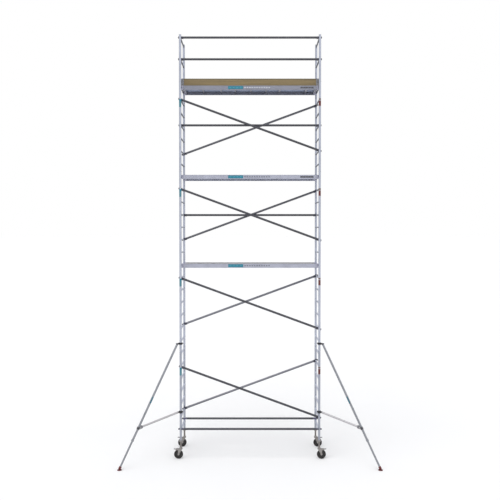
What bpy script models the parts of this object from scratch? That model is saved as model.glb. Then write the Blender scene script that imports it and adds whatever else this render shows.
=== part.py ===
"""Mobile aluminium tower scaffold with an 8.2 m working deck. Metres, +Z up.

+X runs along the tower, +Y from the guard-rail side to the wall side, and the floor is z = 0.
The tower stands on four braked castors. Four levels of ladder frames plug into each other, braces
and rails claw onto their rungs, three platforms hang on the rungs, and two stabilisers prop the
guard-rail side. The origin is on the floor, in the middle of the tower's whole footprint.
"""
import math

import bmesh
import bpy
from mathutils import Matrix, Vector

# ---- driving dimensions -------------------------------------------------------------------------
BAY = 3.039                # post to post along X
WIDTH = 0.800              # post to post along Y
GAP = 0.0003               # clearance between touching pieces

POST_R = 0.025
POST_SIDES = 8
BORE_R = 0.023
RUNG_R = 0.016
RUNG_SIDES = 8
RUNG_PITCH = 0.279
RUNGS = 7
LEVELS = 4
FRAME_BOTTOM = 0.410
FIRST_RUNG = 0.2105        # lowest rung above a frame's foot
FRAME_HEIGHT = RUNGS * RUNG_PITCH

SPIGOT_R = 0.0224
SPIGOT_BORE_R = 0.0195
SPIGOT_UP = 0.095          # above the frame's top, inside the next frame
SPIGOT_IN = 0.100          # below it, inside its own post

GUARD_HEIGHT = 1.048
GUARD_RUNGS = (0.523, 0.994)
CAP_CHAMFER = 0.006
CAP_THICK = 0.004

BRACE_R = 0.0238
BRACE_SIDES = 8
BRACE_SOCKET_R = 0.024     # claw casting's sleeve on the tube's end
BRACE_SOCKET = 0.110       # its length from the claw's centre, tapering to the tube
BRACE_INTO_CLAW = 0.005    # metal left between the sleeve's end and the grip
CLAW_WALL = 0.011
CLAW_DEPTH = 0.033
CLAW_REACH = 25.0          # degrees past the half circle at each side
CLAW_STEPS = 6
RUNG_GRIP = 0.0165         # claw's inner faces from the rung's axis
POST_GRIP = 0.0254
CLAW_INSET = 0.0475        # claw centre from the post's axis, along the rung
CLAW_SECOND_INSET = 0.0965  # a rail that crosses a diagonal hooks on beside it
BASE_RAIL_Z = 0.653        # its claws rest on the lowest rungs
TOP_LEVEL = FRAME_BOTTOM + LEVELS * FRAME_HEIGHT

LEG_R = 0.021
LEG_BORE_R = 0.017
LEG_BOTTOM = 0.235
LEG_LENGTH = 0.560
COLLAR_R = 0.034
COLLAR_HEIGHT = 0.035
LUG_REACH = 0.052
LUG_HALF = 0.007

WHEEL_R = 0.100
WHEEL_SIDES = 20
AXLE_Z = WHEEL_R * math.cos(math.pi / WHEEL_SIDES)
TRAIL = 0.050              # axle from the swivel axis, outwards along X
AXLE_R = 0.007
AXLE_HALF = 0.045
HUB_HALF = 0.025
STEM_R = 0.0155
STEM_UP = 0.130
CHEEK_IN = 0.0265
CHEEK_OUT = 0.0315
CROWN_BOTTOM = 0.2087
PEDAL_X = 0.100
PEDAL_Z = 0.2035
PEDAL_PIN_R = 0.004
PEDAL_HUB_R = 0.009

DECK_WIDTH = 0.600
BEAM_DROP = 0.057          # side beam below the rung's centre
BEAM_RISE = 0.034          # and above it
BEAM_FLANGE = 0.030
BEAM_WALL = 0.004
DECK_SEAT = 0.019          # top of the cross members
DECK_THICK = 0.012
DECK_TOP = DECK_SEAT + GAP + DECK_THICK
CAST_LENGTH = 0.075        # claw casting, from the rung's centre inwards
CAST_DEPTH = 0.0296
CLAW_LIP = 0.010
BEAM_END = 0.050
MEMBER_HALF = 0.015
MEMBER_HEIGHT = 0.028
MEMBERS = (-1.05, -0.65, -0.33, 0.02, 0.36)
HATCH_X = (0.672, 1.248)
HATCH_HALF_WIDTH = 0.2265
HATCH_LEDGE = 0.013
HATCH_CLEAR = 0.0015
HINGE_RISE = 0.0055        # pin above the deck's surface
KNUCKLE_R = 0.005
HINGE_PIN_R = 0.002
PIN_BORE_R = 0.0025
KNUCKLE = 0.030
HINGE_LEAF = 0.035
PLATFORM_RUNGS = (13, 20, 27)  # counted from the lowest rung
HATCH_SIDE = (-1, 1, 1)    # which end of each platform has the hatch

TOE_HEIGHT = 0.150
TOE_THICK = 0.018
TOE_HALF_LENGTH = 1.510

STAB_ANGLE = 30.0          # degrees from the X direction towards the rail side
STAB_REACH = 1.398         # foot from the post's axis
UPPER_CLAMP_Z = 2.535
LOWER_CLAMP_Z = 1.030
CLAMP_BORE_R = 0.0263
CLAMP_R = 0.037
CLAMP_HALF = 0.022
CLAMP_SIDES = 12
HEAD_REACH = 0.078         # leg's top end from the post's axis
FOOT_AXIS_Z = 0.030        # leg's axis over the middle of the foot
STAB_R = 0.0225
STAB_BORE_R = 0.0207
INNER_R = 0.0195
INNER_BORE_R = 0.0165
STAB_SIDES = 10
SLEEVE_END = 0.600         # outer tube's lower end, along the leg from the foot
INNER_END = 1.150
STRUT_R = 0.0205
STRUT_AT = 0.315           # strut's sleeve, as a part of the leg's length from the foot
PAD_R = 0.050
PAD_THICK = 0.020
PAD_SIDES = 24

FLAT_ANGLE = math.radians(0.02)  # faces this close to flat are merged after a union

FRONT_REACH = STAB_REACH * math.sin(math.radians(STAB_ANGLE)) + PAD_R * math.cos(math.pi / PAD_SIDES)
NEAR_Y = (FRONT_REACH - WIDTH - AXLE_HALF) / 2
FAR_Y = NEAR_Y + WIDTH
MID_Y = NEAR_Y + WIDTH / 2

for leftover in list(bpy.data.objects):
    bpy.data.objects.remove(leftover)


# ---- materials ----------------------------------------------------------------------------------
def material(name, colour, roughness, metallic):
    made = bpy.data.materials.new(name)
    made.use_nodes = True
    shader = made.node_tree.nodes["Principled BSDF"]
    shader.inputs["Base Color"].default_value = (*colour, 1.0)
    shader.inputs["Roughness"].default_value = roughness
    shader.inputs["Metallic"].default_value = metallic
    return made


FRAME_METAL = material("frame_metal", (0.50, 0.53, 0.61), 0.35, 0.9)
BRACE_METAL = material("brace_metal", (0.07, 0.07, 0.08), 0.45, 0.8)
BEAM_METAL = material("beam_metal", (0.50, 0.50, 0.58), 0.40, 0.9)
STABILISER_METAL = material("stabiliser_metal", (0.48, 0.49, 0.50), 0.40, 0.9)
ZINC = material("zinc", (0.55, 0.56, 0.58), 0.35, 1.0)
TYRE = material("tyre", (0.03, 0.025, 0.025), 0.80, 0.0)
PEDAL_PAINT = material("pedal_paint", (0.30, 0.31, 0.33), 0.50, 0.6)
DECK_PLY = material("deck_ply", (0.14, 0.15, 0.18), 0.60, 0.0)
TOE_PLY = material("toe_ply", (0.26, 0.19, 0.10), 0.65, 0.0)
FOOT_RUBBER = material("foot_rubber", (0.11, 0.018, 0.02), 0.70, 0.0)


# ---- shapes -------------------------------------------------------------------------------------
def turned(profile, sides, bored=False):
    """Solid of revolution about Z through (radius, height) points; bored closes the loop."""
    bm = bmesh.new()
    step = 2 * math.pi / sides
    rings = []
    for radius, height in profile:
        angles = [(i + 0.5) * step for i in range(sides)]
        rings.append([bm.verts.new((radius * math.cos(a), radius * math.sin(a), height)) for a in angles])
    pairs = list(zip(rings, rings[1:]))
    if bored:
        pairs.append((rings[-1], rings[0]))
    else:
        bm.faces.new(list(reversed(rings[0])))
        bm.faces.new(rings[-1])
    for lower, upper in pairs:
        for i in range(sides):
            j = (i + 1) % sides
            bm.faces.new((lower[i], lower[j], upper[j], upper[i]))
    bmesh.ops.recalc_face_normals(bm, faces=bm.faces)
    return bm


def prism(outline, depth):
    """Outline of (x, z) points, extruded along Y to half the depth at each side."""
    bm = bmesh.new()
    front = [bm.verts.new((x, -depth / 2, z)) for x, z in outline]
    back = [bm.verts.new((x, depth / 2, z)) for x, z in outline]
    bm.faces.new(front)
    bm.faces.new(list(reversed(back)))
    for i in range(len(outline)):
        j = (i + 1) % len(outline)
        bm.faces.new((front[j], front[i], back[i], back[j]))
    bmesh.ops.recalc_face_normals(bm, faces=bm.faces)
    return bm


def block(low, high):
    """Box between two opposite corners."""
    (x0, y0, z0), (x1, y1, z1) = low, high
    bm = prism([(x0, z0), (x1, z0), (x1, z1), (x0, z1)], y1 - y0)
    return moved(bm, Matrix.Translation((0, (y0 + y1) / 2, 0)))


def moved(bm, matrix):
    bmesh.ops.transform(bm, matrix=matrix, verts=bm.verts)
    return bm


def copied(bm, matrix):
    return moved(bm.copy(), matrix)


def aimed(start, end):
    """Matrix that lays a shape made along +Z from `start` towards `end`."""
    start, end = Vector(start), Vector(end)
    turn = (end - start).to_track_quat("Z", "Y").to_matrix().to_4x4()
    return Matrix.Translation(start) @ turn


def rod(start, end, radius, sides):
    length = (Vector(end) - Vector(start)).length
    return moved(turned([(radius, 0.0), (radius, length)], sides), aimed(start, end))


def along_x(bm):
    return moved(bm, Matrix.Rotation(math.pi / 2, 4, "Y"))


def along_y(bm):
    return moved(bm, Matrix.Rotation(-math.pi / 2, 4, "X"))


def rod_y(x, z, half, radius, sides):
    """Round bar along Y, centred on Y = 0."""
    bar = along_y(turned([(radius, -half), (radius, half)], sides))
    return moved(bar, Matrix.Translation((x, 0, z)))


def as_mesh(bm, name):
    mesh = bpy.data.meshes.new(name)
    bm.to_mesh(mesh)
    bm.free()
    return mesh


def as_piece(mesh):
    bm = bmesh.new()
    bm.from_mesh(mesh)
    bpy.data.meshes.remove(mesh)
    return bm


def unite(name, pieces, cuts=()):
    """One closed body: the union of the pieces, less the cuts."""
    helpers = [bpy.data.objects.new("helper", as_mesh(bm, "helper")) for bm in (*pieces, *cuts)]
    body, joined, removed = helpers[0], helpers[1:len(pieces)], helpers[len(pieces):]
    bpy.context.scene.collection.objects.link(body)
    groups = []
    for operation, operands in (("UNION", joined), ("DIFFERENCE", removed)):
        if not operands:
            continue
        group = bpy.data.collections.new(operation.lower())
        bpy.context.scene.collection.children.link(group)
        for operand in operands:
            group.objects.link(operand)
        modifier = body.modifiers.new(operation.title(), "BOOLEAN")
        modifier.operation = operation
        modifier.operand_type = "COLLECTION"
        modifier.collection = group
        groups.append(group)
    graph = bpy.context.evaluated_depsgraph_get()
    result = as_piece(bpy.data.meshes.new_from_object(body.evaluated_get(graph)))
    bmesh.ops.dissolve_limit(result, angle_limit=FLAT_ANGLE, verts=result.verts, edges=result.edges)
    for helper in helpers:
        bpy.data.objects.remove(helper)
    for group in groups:
        bpy.data.collections.remove(group)
    return as_mesh(result, name)


def place(name, mesh, finish, location=(0, 0, 0), turn=0.0, axis="Z"):
    """One named sub-part, turned about one axis through its own origin."""
    if not mesh.materials:
        mesh.materials.append(finish)
        mesh.shade_smooth()
        mesh.set_sharp_from_angle(angle=math.radians(35))
    made = bpy.data.objects.new(name, mesh)
    made.location = location
    made.rotation_euler["XYZ".index(axis)] = turn
    bpy.context.scene.collection.objects.link(made)
    return made


def rung_height(number):
    """Height of a rung's centre, counted from the tower's lowest rung."""
    return FRAME_BOTTOM + FIRST_RUNG + RUNG_PITCH * number


# ---- ladder frames ------------------------------------------------------------------------------
def ladder(name, posts, bores, rung_heights):
    """Two posts with rungs between them; origin at the foot of the post on the rail side."""
    rungs = [moved(along_y(turned([(RUNG_R, 0.0), (RUNG_R, WIDTH)], RUNG_SIDES)),
                   Matrix.Translation((0, 0, height))) for height in rung_heights]
    second = Matrix.Translation((0, WIDTH, 0))
    pieces = [turned(posts, POST_SIDES), copied(turned(posts, POST_SIDES), second), *rungs]
    cuts = [turned(bores, POST_SIDES), copied(turned(bores, POST_SIDES), second)]
    return unite(name, pieces, cuts)


def end_frame_mesh():
    top, spigot_top, spigot_foot = FRAME_HEIGHT - GAP, FRAME_HEIGHT + SPIGOT_UP, FRAME_HEIGHT - SPIGOT_IN
    posts = [(POST_R, 0), (POST_R, top), (SPIGOT_R, top), (SPIGOT_R, spigot_top)]
    bores = [(BORE_R, -0.01), (BORE_R, spigot_foot), (SPIGOT_BORE_R, spigot_foot),
             (SPIGOT_BORE_R, spigot_top + 0.01)]
    return ladder("end_frame", posts, bores, [FIRST_RUNG + RUNG_PITCH * k for k in range(RUNGS)])


def guard_frame_mesh():
    posts = [(POST_R, 0), (POST_R, GUARD_HEIGHT - CAP_CHAMFER), (POST_R - CAP_CHAMFER, GUARD_HEIGHT)]
    bores = [(BORE_R, -0.01), (BORE_R, GUARD_HEIGHT - CAP_CHAMFER - CAP_THICK)]
    return ladder("guard_frame", posts, bores, GUARD_RUNGS)


def build_frames():
    frame, guard = end_frame_mesh(), guard_frame_mesh()
    for side, word in ((-1, "left"), (1, "right")):
        for level in range(LEVELS):
            foot = FRAME_BOTTOM + level * FRAME_HEIGHT
            place(f"end_frame_{level + 1}_{word}", frame, FRAME_METAL, (side * BAY / 2, NEAR_Y, foot))
        place(f"guard_frame_{word}", guard, FRAME_METAL, (side * BAY / 2, NEAR_Y, TOP_LEVEL))


# ---- braces and rails ---------------------------------------------------------------------------
def hook_outline(grip):
    """C-shaped claw round the origin, open downwards."""
    sweep = math.radians(180 + 2 * CLAW_REACH)
    first, step = math.radians(180 + CLAW_REACH), sweep / CLAW_STEPS
    angles = [first - step * i for i in range(CLAW_STEPS + 1)]
    corner = grip / math.cos(step / 2)
    inner = [(corner * math.cos(a), corner * math.sin(a)) for a in angles]
    outer = [((corner + CLAW_WALL) * math.cos(a), (corner + CLAW_WALL) * math.sin(a)) for a in angles]
    return inner + outer[::-1]


def brace_mesh(name, length, grip):
    """Tube along X with a claw at each end; the claws' centres are `length` apart."""
    half, start = length / 2, length / 2 - grip - BRACE_INTO_CLAW
    profile = [(BRACE_SOCKET_R, -start), (BRACE_R, BRACE_SOCKET - half),
               (BRACE_R, half - BRACE_SOCKET), (BRACE_SOCKET_R, start)]
    tube = along_x(turned(profile, BRACE_SIDES))
    hooks = [moved(prism(hook_outline(grip), CLAW_DEPTH), Matrix.Translation((end * half, 0, 0)))
             for end in (-1, 1)]
    return unite(name, [tube, *hooks])


def build_braces():
    rise = 4 * RUNG_PITCH
    tilt = math.atan2(rise, BAY)
    diagonal = brace_mesh("diagonal", math.hypot(rise, BAY), RUNG_GRIP)
    rail = brace_mesh("rail", BAY, RUNG_GRIP)
    base_rail = brace_mesh("base_rail", BAY, POST_GRIP)
    near, far = NEAR_Y + CLAW_INSET, FAR_Y - CLAW_INSET
    for level in range(LEVELS):
        middle = rung_height(level * RUNGS + 3)
        place(f"diagonal_{level + 1}_near", diagonal, BRACE_METAL, (0, near, middle), tilt, "Y")
        place(f"diagonal_{level + 1}_far", diagonal, BRACE_METAL, (0, far, middle), -tilt, "Y")
    place("base_rail_near", base_rail, BRACE_METAL, (0, NEAR_Y, BASE_RAIL_Z), -math.pi / 2, "X")
    place("base_rail_far", base_rail, BRACE_METAL, (0, FAR_Y, BASE_RAIL_Z), math.pi / 2, "X")
    place("level_3_rail_far", rail, BRACE_METAL, (0, FAR_Y - CLAW_SECOND_INSET, rung_height(17)))
    place("level_4_rail_near", rail, BRACE_METAL, (0, NEAR_Y + CLAW_SECOND_INSET, rung_height(24)))
    for name, height in zip(("knee_rail", "guard_rail"), GUARD_RUNGS):
        place(name, rail, BRACE_METAL, (0, near, TOP_LEVEL + height))


# ---- castors and adjustable legs ----------------------------------------------------------------
def leg_mesh():
    """Threaded leg tube with its nut; origin at its lower end, on its axis."""
    nut_top = FRAME_BOTTOM - LEG_BOTTOM - GAP
    nut_bottom = nut_top - COLLAR_HEIGHT
    body = turned([(LEG_R, 0), (LEG_R, nut_bottom), (COLLAR_R, nut_bottom), (COLLAR_R, nut_top),
                   (LEG_R, nut_top), (LEG_R, LEG_LENGTH)], POST_SIDES)
    lugs = block((-LUG_REACH, -LUG_HALF, nut_bottom + 0.006), (LUG_REACH, LUG_HALF, nut_top - 0.006))
    bore = turned([(LEG_BORE_R, -0.01), (LEG_BORE_R, LEG_LENGTH + 0.01)], POST_SIDES)
    return unite("leg", [body, lugs], [bore])


def fork_mesh():
    """Swivel fork; origin on the swivel axis at floor level, wheel to +X."""
    crown_top = LEG_BOTTOM - GAP
    cheek = [(-0.020, 0.225), (0.028, AXLE_Z), (0.036, AXLE_Z - 0.014), (TRAIL, AXLE_Z - 0.020),
             (0.064, AXLE_Z - 0.014), (0.072, AXLE_Z), (0.112, 0.196), (0.112, 0.212), (0.085, 0.225)]
    middle = (CHEEK_IN + CHEEK_OUT) / 2
    cheeks = [moved(prism(cheek, CHEEK_OUT - CHEEK_IN), Matrix.Translation((0, side * middle, 0)))
              for side in (-1, 1)]
    crown = block((-0.034, -CHEEK_OUT, CROWN_BOTTOM), (0.078, CHEEK_OUT, crown_top))
    stem = turned([(STEM_R, CROWN_BOTTOM), (STEM_R, LEG_BOTTOM + STEM_UP)], POST_SIDES)
    axle = rod_y(TRAIL, AXLE_Z, AXLE_HALF, AXLE_R, 8)
    pin = rod_y(PEDAL_X, PEDAL_Z, CHEEK_OUT + 0.003, PEDAL_PIN_R, 6)
    return unite("fork", [crown, *cheeks, stem, axle, pin])


def wheel_mesh():
    """Tyre, rim and hub about Y; origin on the axle."""
    bore = (AXLE_R + 0.0001) / math.cos(math.pi / WHEEL_SIDES) + 0.0002
    half = [(WHEEL_R, 0.015), (0.088, 0.022), (0.019, HUB_HALF)]
    profile = [(r, -y) for r, y in half] + [(bore, -HUB_HALF), (bore, HUB_HALF)] + [(r, y) for r, y in half[::-1]]
    return as_mesh(along_y(turned(profile, WHEEL_SIDES, bored=True)), "wheel")


def pedal_mesh():
    """Brake pedal; origin on its pin, tread to +X, heel down beside the tyre."""
    hub = rod_y(0, 0, CHEEK_IN - 0.001, PEDAL_HUB_R, 8)
    tread = prism([(0, -0.003), (0.056, 0.009), (0.055, 0.015), (0, 0.005)], 0.044)
    heel = prism([(-0.005, -0.004), (-0.0025, -0.0145), (0.0045, -0.0145), (0.005, -0.004)], 0.036)
    bore = rod_y(0, 0, 0.05, PEDAL_PIN_R + 0.0007, 6)
    return unite("pedal", [hub, tread, heel], [bore])


def build_castors():
    leg, fork, wheel, pedal = leg_mesh(), fork_mesh(), wheel_mesh(), pedal_mesh()
    for side, end_word in ((-1, "left"), (1, "right")):
        for y, side_word in ((NEAR_Y, "near"), (FAR_Y, "far")):
            where, x = f"{side_word}_{end_word}", side * BAY / 2
            turn = 0.0 if side > 0 else math.pi
            place(f"adjustable_leg_{where}", leg, ZINC, (x, y, LEG_BOTTOM))
            place(f"castor_fork_{where}", fork, ZINC, (x, y, 0), turn)
            place(f"castor_wheel_{where}", wheel, TYRE, (x + side * TRAIL, y, AXLE_Z))
            place(f"brake_pedal_{where}", pedal, PEDAL_PAINT, (x + side * PEDAL_X, y, PEDAL_Z), turn)


# ---- platforms ----------------------------------------------------------------------------------
def platform_claw_outline():
    """Casting that drops over a rung at the origin, with the platform to -X."""
    corner = RUNG_GRIP / math.cos(math.radians(18))
    grip = [(corner * math.cos(a), corner * math.sin(a)) for a in map(math.radians, range(180, -1, -36))]
    outer_r = corner + CLAW_WALL
    back = [(outer_r * math.cos(a), outer_r * math.sin(a)) for a in map(math.radians, (10, 42, 74))]
    return [(-CAST_LENGTH, -BEAM_DROP), (-corner, -BEAM_DROP), *grip, (corner, -CLAW_LIP),
            (outer_r, -CLAW_LIP), *back, (-0.025, BEAM_RISE), (-CAST_LENGTH, BEAM_RISE)]


def platform_frame_mesh():
    """Side beams, cross members and claws; origin at mid-length, at the rungs' centre height."""
    web, half_length = DECK_WIDTH / 2, BAY / 2 - BEAM_END
    section = [(0, -BEAM_DROP), (BEAM_FLANGE, -BEAM_DROP), (BEAM_FLANGE, BEAM_WALL - BEAM_DROP),
               (BEAM_WALL, BEAM_WALL - BEAM_DROP), (BEAM_WALL, BEAM_RISE), (0, BEAM_RISE)]
    lengthwise = Matrix.Rotation(math.pi / 2, 4, "Z")
    beams = [moved(prism(section, 2 * half_length), Matrix.Translation((0, -web, 0)) @ lengthwise),
             moved(prism(section, 2 * half_length), Matrix.Translation((0, web, 0)) @ lengthwise.inverted())]
    inner, bottom = web - BEAM_WALL / 2, DECK_SEAT - MEMBER_HEIGHT
    members = [block((x - MEMBER_HALF, -inner, bottom), (x + MEMBER_HALF, inner, DECK_SEAT)) for x in MEMBERS]
    for edge, outwards in zip(HATCH_X, (-1, 1)):
        low, high = sorted((edge - outwards * HATCH_LEDGE, edge + outwards * 0.027))
        members.append(block((low, -inner, bottom), (high, inner, DECK_SEAT)))
    claws = []
    for end in (-1, 1):
        low, high = sorted((end * (half_length - 0.001), end * (half_length - 0.036)))
        members.append(block((low, -inner, -BEAM_DROP / 2), (high, inner, DECK_SEAT)))
        facing = Matrix.Identity(4) if end > 0 else Matrix.Rotation(math.pi, 4, "Z")
        for side in (-1, 1):
            spot = Matrix.Translation((end * BAY / 2, side * (web - BEAM_FLANGE / 2), 0))
            claws.append(moved(prism(platform_claw_outline(), CAST_DEPTH), spot @ facing))
    return unite("platform_frame", [*beams, *members, *claws])


def hinge_places():
    """Middle of each of the hatch's two hinges along X."""
    quarter = (HATCH_X[1] - HATCH_X[0]) / 4
    return HATCH_X[0] + quarter, HATCH_X[1] - quarter


def knuckle(x0, x1, side):
    """Hinge barrel on the pin's axis with a leaf on the surface at one side of it."""
    barrel = along_x(turned([(KNUCKLE_R, x0), (KNUCKLE_R, x1)], 8))
    near, far = sorted((side * 0.0015, side * HINGE_LEAF))
    leaf = block((x0, near, -HINGE_RISE - 0.001), (x1, far, -HINGE_RISE + 0.0025))
    return [barrel, leaf]


def hinge_axis():
    return Matrix.Translation((0, HATCH_HALF_WIDTH - HATCH_CLEAR / 2, DECK_TOP + HINGE_RISE))


def deck_mesh():
    """Plywood deck with the hatch opening and the fixed halves of its hinges."""
    half_length = BAY / 2 - CAST_LENGTH - GAP
    half_width = DECK_WIDTH / 2 - BEAM_WALL - GAP
    board = block((-half_length, -half_width, DECK_SEAT + GAP), (half_length, half_width, DECK_TOP))
    opening = block((HATCH_X[0], -HATCH_HALF_WIDTH, 0), (HATCH_X[1], HATCH_HALF_WIDTH, 0.1))
    pieces = [as_piece(unite("board", [board], [opening]))]
    for x in hinge_places():
        reach = 1.5 * KNUCKLE
        parts = [*knuckle(x - reach, x - KNUCKLE / 2 - GAP, 1), *knuckle(x + KNUCKLE / 2 + GAP, x + reach, 1),
                 along_x(turned([(HINGE_PIN_R, x - reach + 0.001), (HINGE_PIN_R, x + reach - 0.001)], 6))]
        pieces += [moved(part, hinge_axis()) for part in parts]
    return unite("deck", pieces)


def hatch_mesh():
    """Hatch panel with the moving halves of its hinges; origin on the pin's axis."""
    axis_y = HATCH_HALF_WIDTH - HATCH_CLEAR / 2
    to_axis = Matrix.Translation((0, -axis_y, -DECK_TOP - HINGE_RISE))
    low = (HATCH_X[0] + HATCH_CLEAR, HATCH_CLEAR - HATCH_HALF_WIDTH, DECK_SEAT + GAP)
    high = (HATCH_X[1] - HATCH_CLEAR, HATCH_HALF_WIDTH - HATCH_CLEAR, DECK_TOP)
    pieces, cuts = [moved(block(low, high), to_axis)], []
    for x in hinge_places():
        pieces += knuckle(x - KNUCKLE / 2, x + KNUCKLE / 2, -1)
        cuts.append(along_x(turned([(PIN_BORE_R, x - KNUCKLE), (PIN_BORE_R, x + KNUCKLE)], 6)))
    return unite("hatch", pieces, cuts)


def build_platforms():
    frame, deck, hatch = platform_frame_mesh(), deck_mesh(), hatch_mesh()
    axis_y, axis_z = hinge_axis().translation.y, hinge_axis().translation.z
    for number, (rung, side) in enumerate(zip(PLATFORM_RUNGS, HATCH_SIDE), start=1):
        height, turn = rung_height(rung), 0.0 if side > 0 else math.pi
        place(f"platform_frame_{number}", frame, BEAM_METAL, (0, MID_Y, height), turn)
        place(f"deck_{number}", deck, DECK_PLY, (0, MID_Y, height), turn)
        place(f"hatch_{number}", hatch, DECK_PLY, (0, MID_Y + side * axis_y, height + axis_z), turn)


def build_toe_boards():
    foot = rung_height(PLATFORM_RUNGS[-1]) + BEAM_RISE + GAP
    near, far = MID_Y - DECK_WIDTH / 2, MID_Y + DECK_WIDTH / 2
    long_board = block((-TOE_HALF_LENGTH, near, foot), (TOE_HALF_LENGTH, near + TOE_THICK, foot + TOE_HEIGHT))
    place("toe_board_near", as_mesh(long_board, "toe_board_near"), TOE_PLY)
    for side, word in ((-1, "left"), (1, "right")):
        low, high = sorted((side * TOE_HALF_LENGTH, side * (TOE_HALF_LENGTH - TOE_THICK)))
        board = block((low, near + TOE_THICK + GAP, foot), (high, far, foot + TOE_HEIGHT))
        place(f"toe_board_{word}", as_mesh(board, f"toe_board_{word}"), TOE_PLY)


# ---- stabilisers --------------------------------------------------------------------------------
LEG_HEAD = Vector((HEAD_REACH, 0, UPPER_CLAMP_Z))
LEG_FOOT = Vector((STAB_REACH, 0, FOOT_AXIS_Z))
UP_THE_LEG = (LEG_HEAD - LEG_FOOT).normalized()


def on_leg(distance):
    """Point on the stabiliser leg's axis, measured from the foot."""
    return LEG_FOOT + UP_THE_LEG * distance


def clamp_pieces(height, reach):
    """Ring round the post with an arm outwards and a bolt boss at the back."""
    ring = turned([(CLAMP_R, height - CLAMP_HALF), (CLAMP_R, height + CLAMP_HALF)], CLAMP_SIDES)
    arm = block((CLAMP_R - 0.006, -0.013, height - 0.016), (reach, 0.013, height + 0.016))
    boss = block((-CLAMP_R - 0.016, -0.010, height - 0.012), (0.004 - CLAMP_R, 0.010, height + 0.012))
    return [ring, arm, boss]


def clamp_bore(height):
    return turned([(CLAMP_BORE_R, height - 0.05), (CLAMP_BORE_R, height + 0.05)], CLAMP_SIDES)


def stabiliser_leg_mesh():
    head_s = (LEG_HEAD - LEG_FOOT).length
    tube = rod(on_leg(SLEEVE_END), on_leg(head_s + 0.012), STAB_R, STAB_SIDES)
    collar = rod(on_leg(SLEEVE_END), on_leg(SLEEVE_END + 0.045), STAB_R + 0.006, STAB_SIDES)
    bore = rod(on_leg(SLEEVE_END - 0.01), on_leg(head_s - 0.060), STAB_BORE_R, STAB_SIDES)
    pieces = [*clamp_pieces(UPPER_CLAMP_Z, HEAD_REACH + 0.026), tube, collar]
    return unite("stabiliser_leg", pieces, [clamp_bore(UPPER_CLAMP_Z), bore])


def stabiliser_strut_mesh():
    sleeve_s = STRUT_AT * (LEG_HEAD - LEG_FOOT).length
    sleeve_bore_r = (STAB_R + GAP) / math.cos(math.pi / STAB_SIDES)
    sleeve = rod(on_leg(sleeve_s - 0.03), on_leg(sleeve_s + 0.03), 0.032, STAB_SIDES)
    strut = rod((0.060, 0, LOWER_CLAMP_Z), on_leg(sleeve_s), STRUT_R, BRACE_SIDES)
    bore = rod(on_leg(sleeve_s - 0.1), on_leg(sleeve_s + 0.1), sleeve_bore_r, STAB_SIDES)
    pieces = [*clamp_pieces(LOWER_CLAMP_Z, 0.075), strut, sleeve]
    return unite("stabiliser_strut", pieces, [clamp_bore(LOWER_CLAMP_Z), bore])


def inner_tube_mesh():
    length = INNER_END - GAP
    profile = [(INNER_BORE_R, GAP), (INNER_R, GAP), (INNER_R, length), (INNER_BORE_R, length)]
    return as_mesh(moved(turned(profile, STAB_SIDES, bored=True), aimed(on_leg(0), on_leg(1))), "inner_tube")


def foot_mesh():
    """Rubber boot: a flat pad and a tilted cup for the inner tube."""
    pad = moved(turned([(PAD_R, 0), (PAD_R, PAD_THICK - 0.006), (PAD_R - 0.008, PAD_THICK)], PAD_SIDES),
                Matrix.Translation((STAB_REACH, 0, 0)))
    cup = rod(on_leg(-0.014), on_leg(0.050), 0.027, STAB_SIDES)
    socket = rod(on_leg(0), on_leg(0.1), (INNER_R + GAP) / math.cos(math.pi / STAB_SIDES), STAB_SIDES)
    return unite("foot", [pad, cup], [socket])


def build_stabilisers():
    leg, strut, inner, foot = stabiliser_leg_mesh(), stabiliser_strut_mesh(), inner_tube_mesh(), foot_mesh()
    for side, word in ((-1, "left"), (1, "right")):
        spot = (side * BAY / 2, NEAR_Y, 0)
        turn = math.radians(180 + STAB_ANGLE if side < 0 else -STAB_ANGLE)
        place(f"stabiliser_leg_{word}", leg, STABILISER_METAL, spot, turn)
        place(f"stabiliser_strut_{word}", strut, STABILISER_METAL, spot, turn)
        place(f"stabiliser_inner_tube_{word}", inner, STABILISER_METAL, spot, turn)
        place(f"stabiliser_foot_{word}", foot, FOOT_RUBBER, spot, turn)


build_frames()
build_braces()
build_castors()
build_platforms()
build_toe_boards()
build_stabilisers()
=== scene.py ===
"""Looks of the mobile tower scaffold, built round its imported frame. Metres, +Z up.

Each section makes one family of pieces in its own local frame, as it would lie on a bench, and then
places it where the frame has the plain solid that it stands for.
"""
import math

import bmesh
import bpy
from mathutils import Matrix, Vector


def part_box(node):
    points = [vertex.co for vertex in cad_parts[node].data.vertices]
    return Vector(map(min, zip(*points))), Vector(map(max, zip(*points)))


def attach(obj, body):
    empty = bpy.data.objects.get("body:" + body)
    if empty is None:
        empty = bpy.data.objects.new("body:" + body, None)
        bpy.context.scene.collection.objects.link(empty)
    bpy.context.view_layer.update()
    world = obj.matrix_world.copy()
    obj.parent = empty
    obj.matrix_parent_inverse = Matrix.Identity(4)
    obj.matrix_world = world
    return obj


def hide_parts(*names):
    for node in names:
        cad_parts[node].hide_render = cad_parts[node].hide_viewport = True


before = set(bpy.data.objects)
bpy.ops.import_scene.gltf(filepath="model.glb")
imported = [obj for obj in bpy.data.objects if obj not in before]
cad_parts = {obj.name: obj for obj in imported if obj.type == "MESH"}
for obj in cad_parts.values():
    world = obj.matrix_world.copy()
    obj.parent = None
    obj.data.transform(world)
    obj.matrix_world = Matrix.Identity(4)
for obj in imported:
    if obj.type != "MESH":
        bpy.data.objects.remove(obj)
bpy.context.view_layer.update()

SIDES = ((-1, "left"), (1, "right"))
IDENTITY = Matrix.Identity(4)

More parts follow.
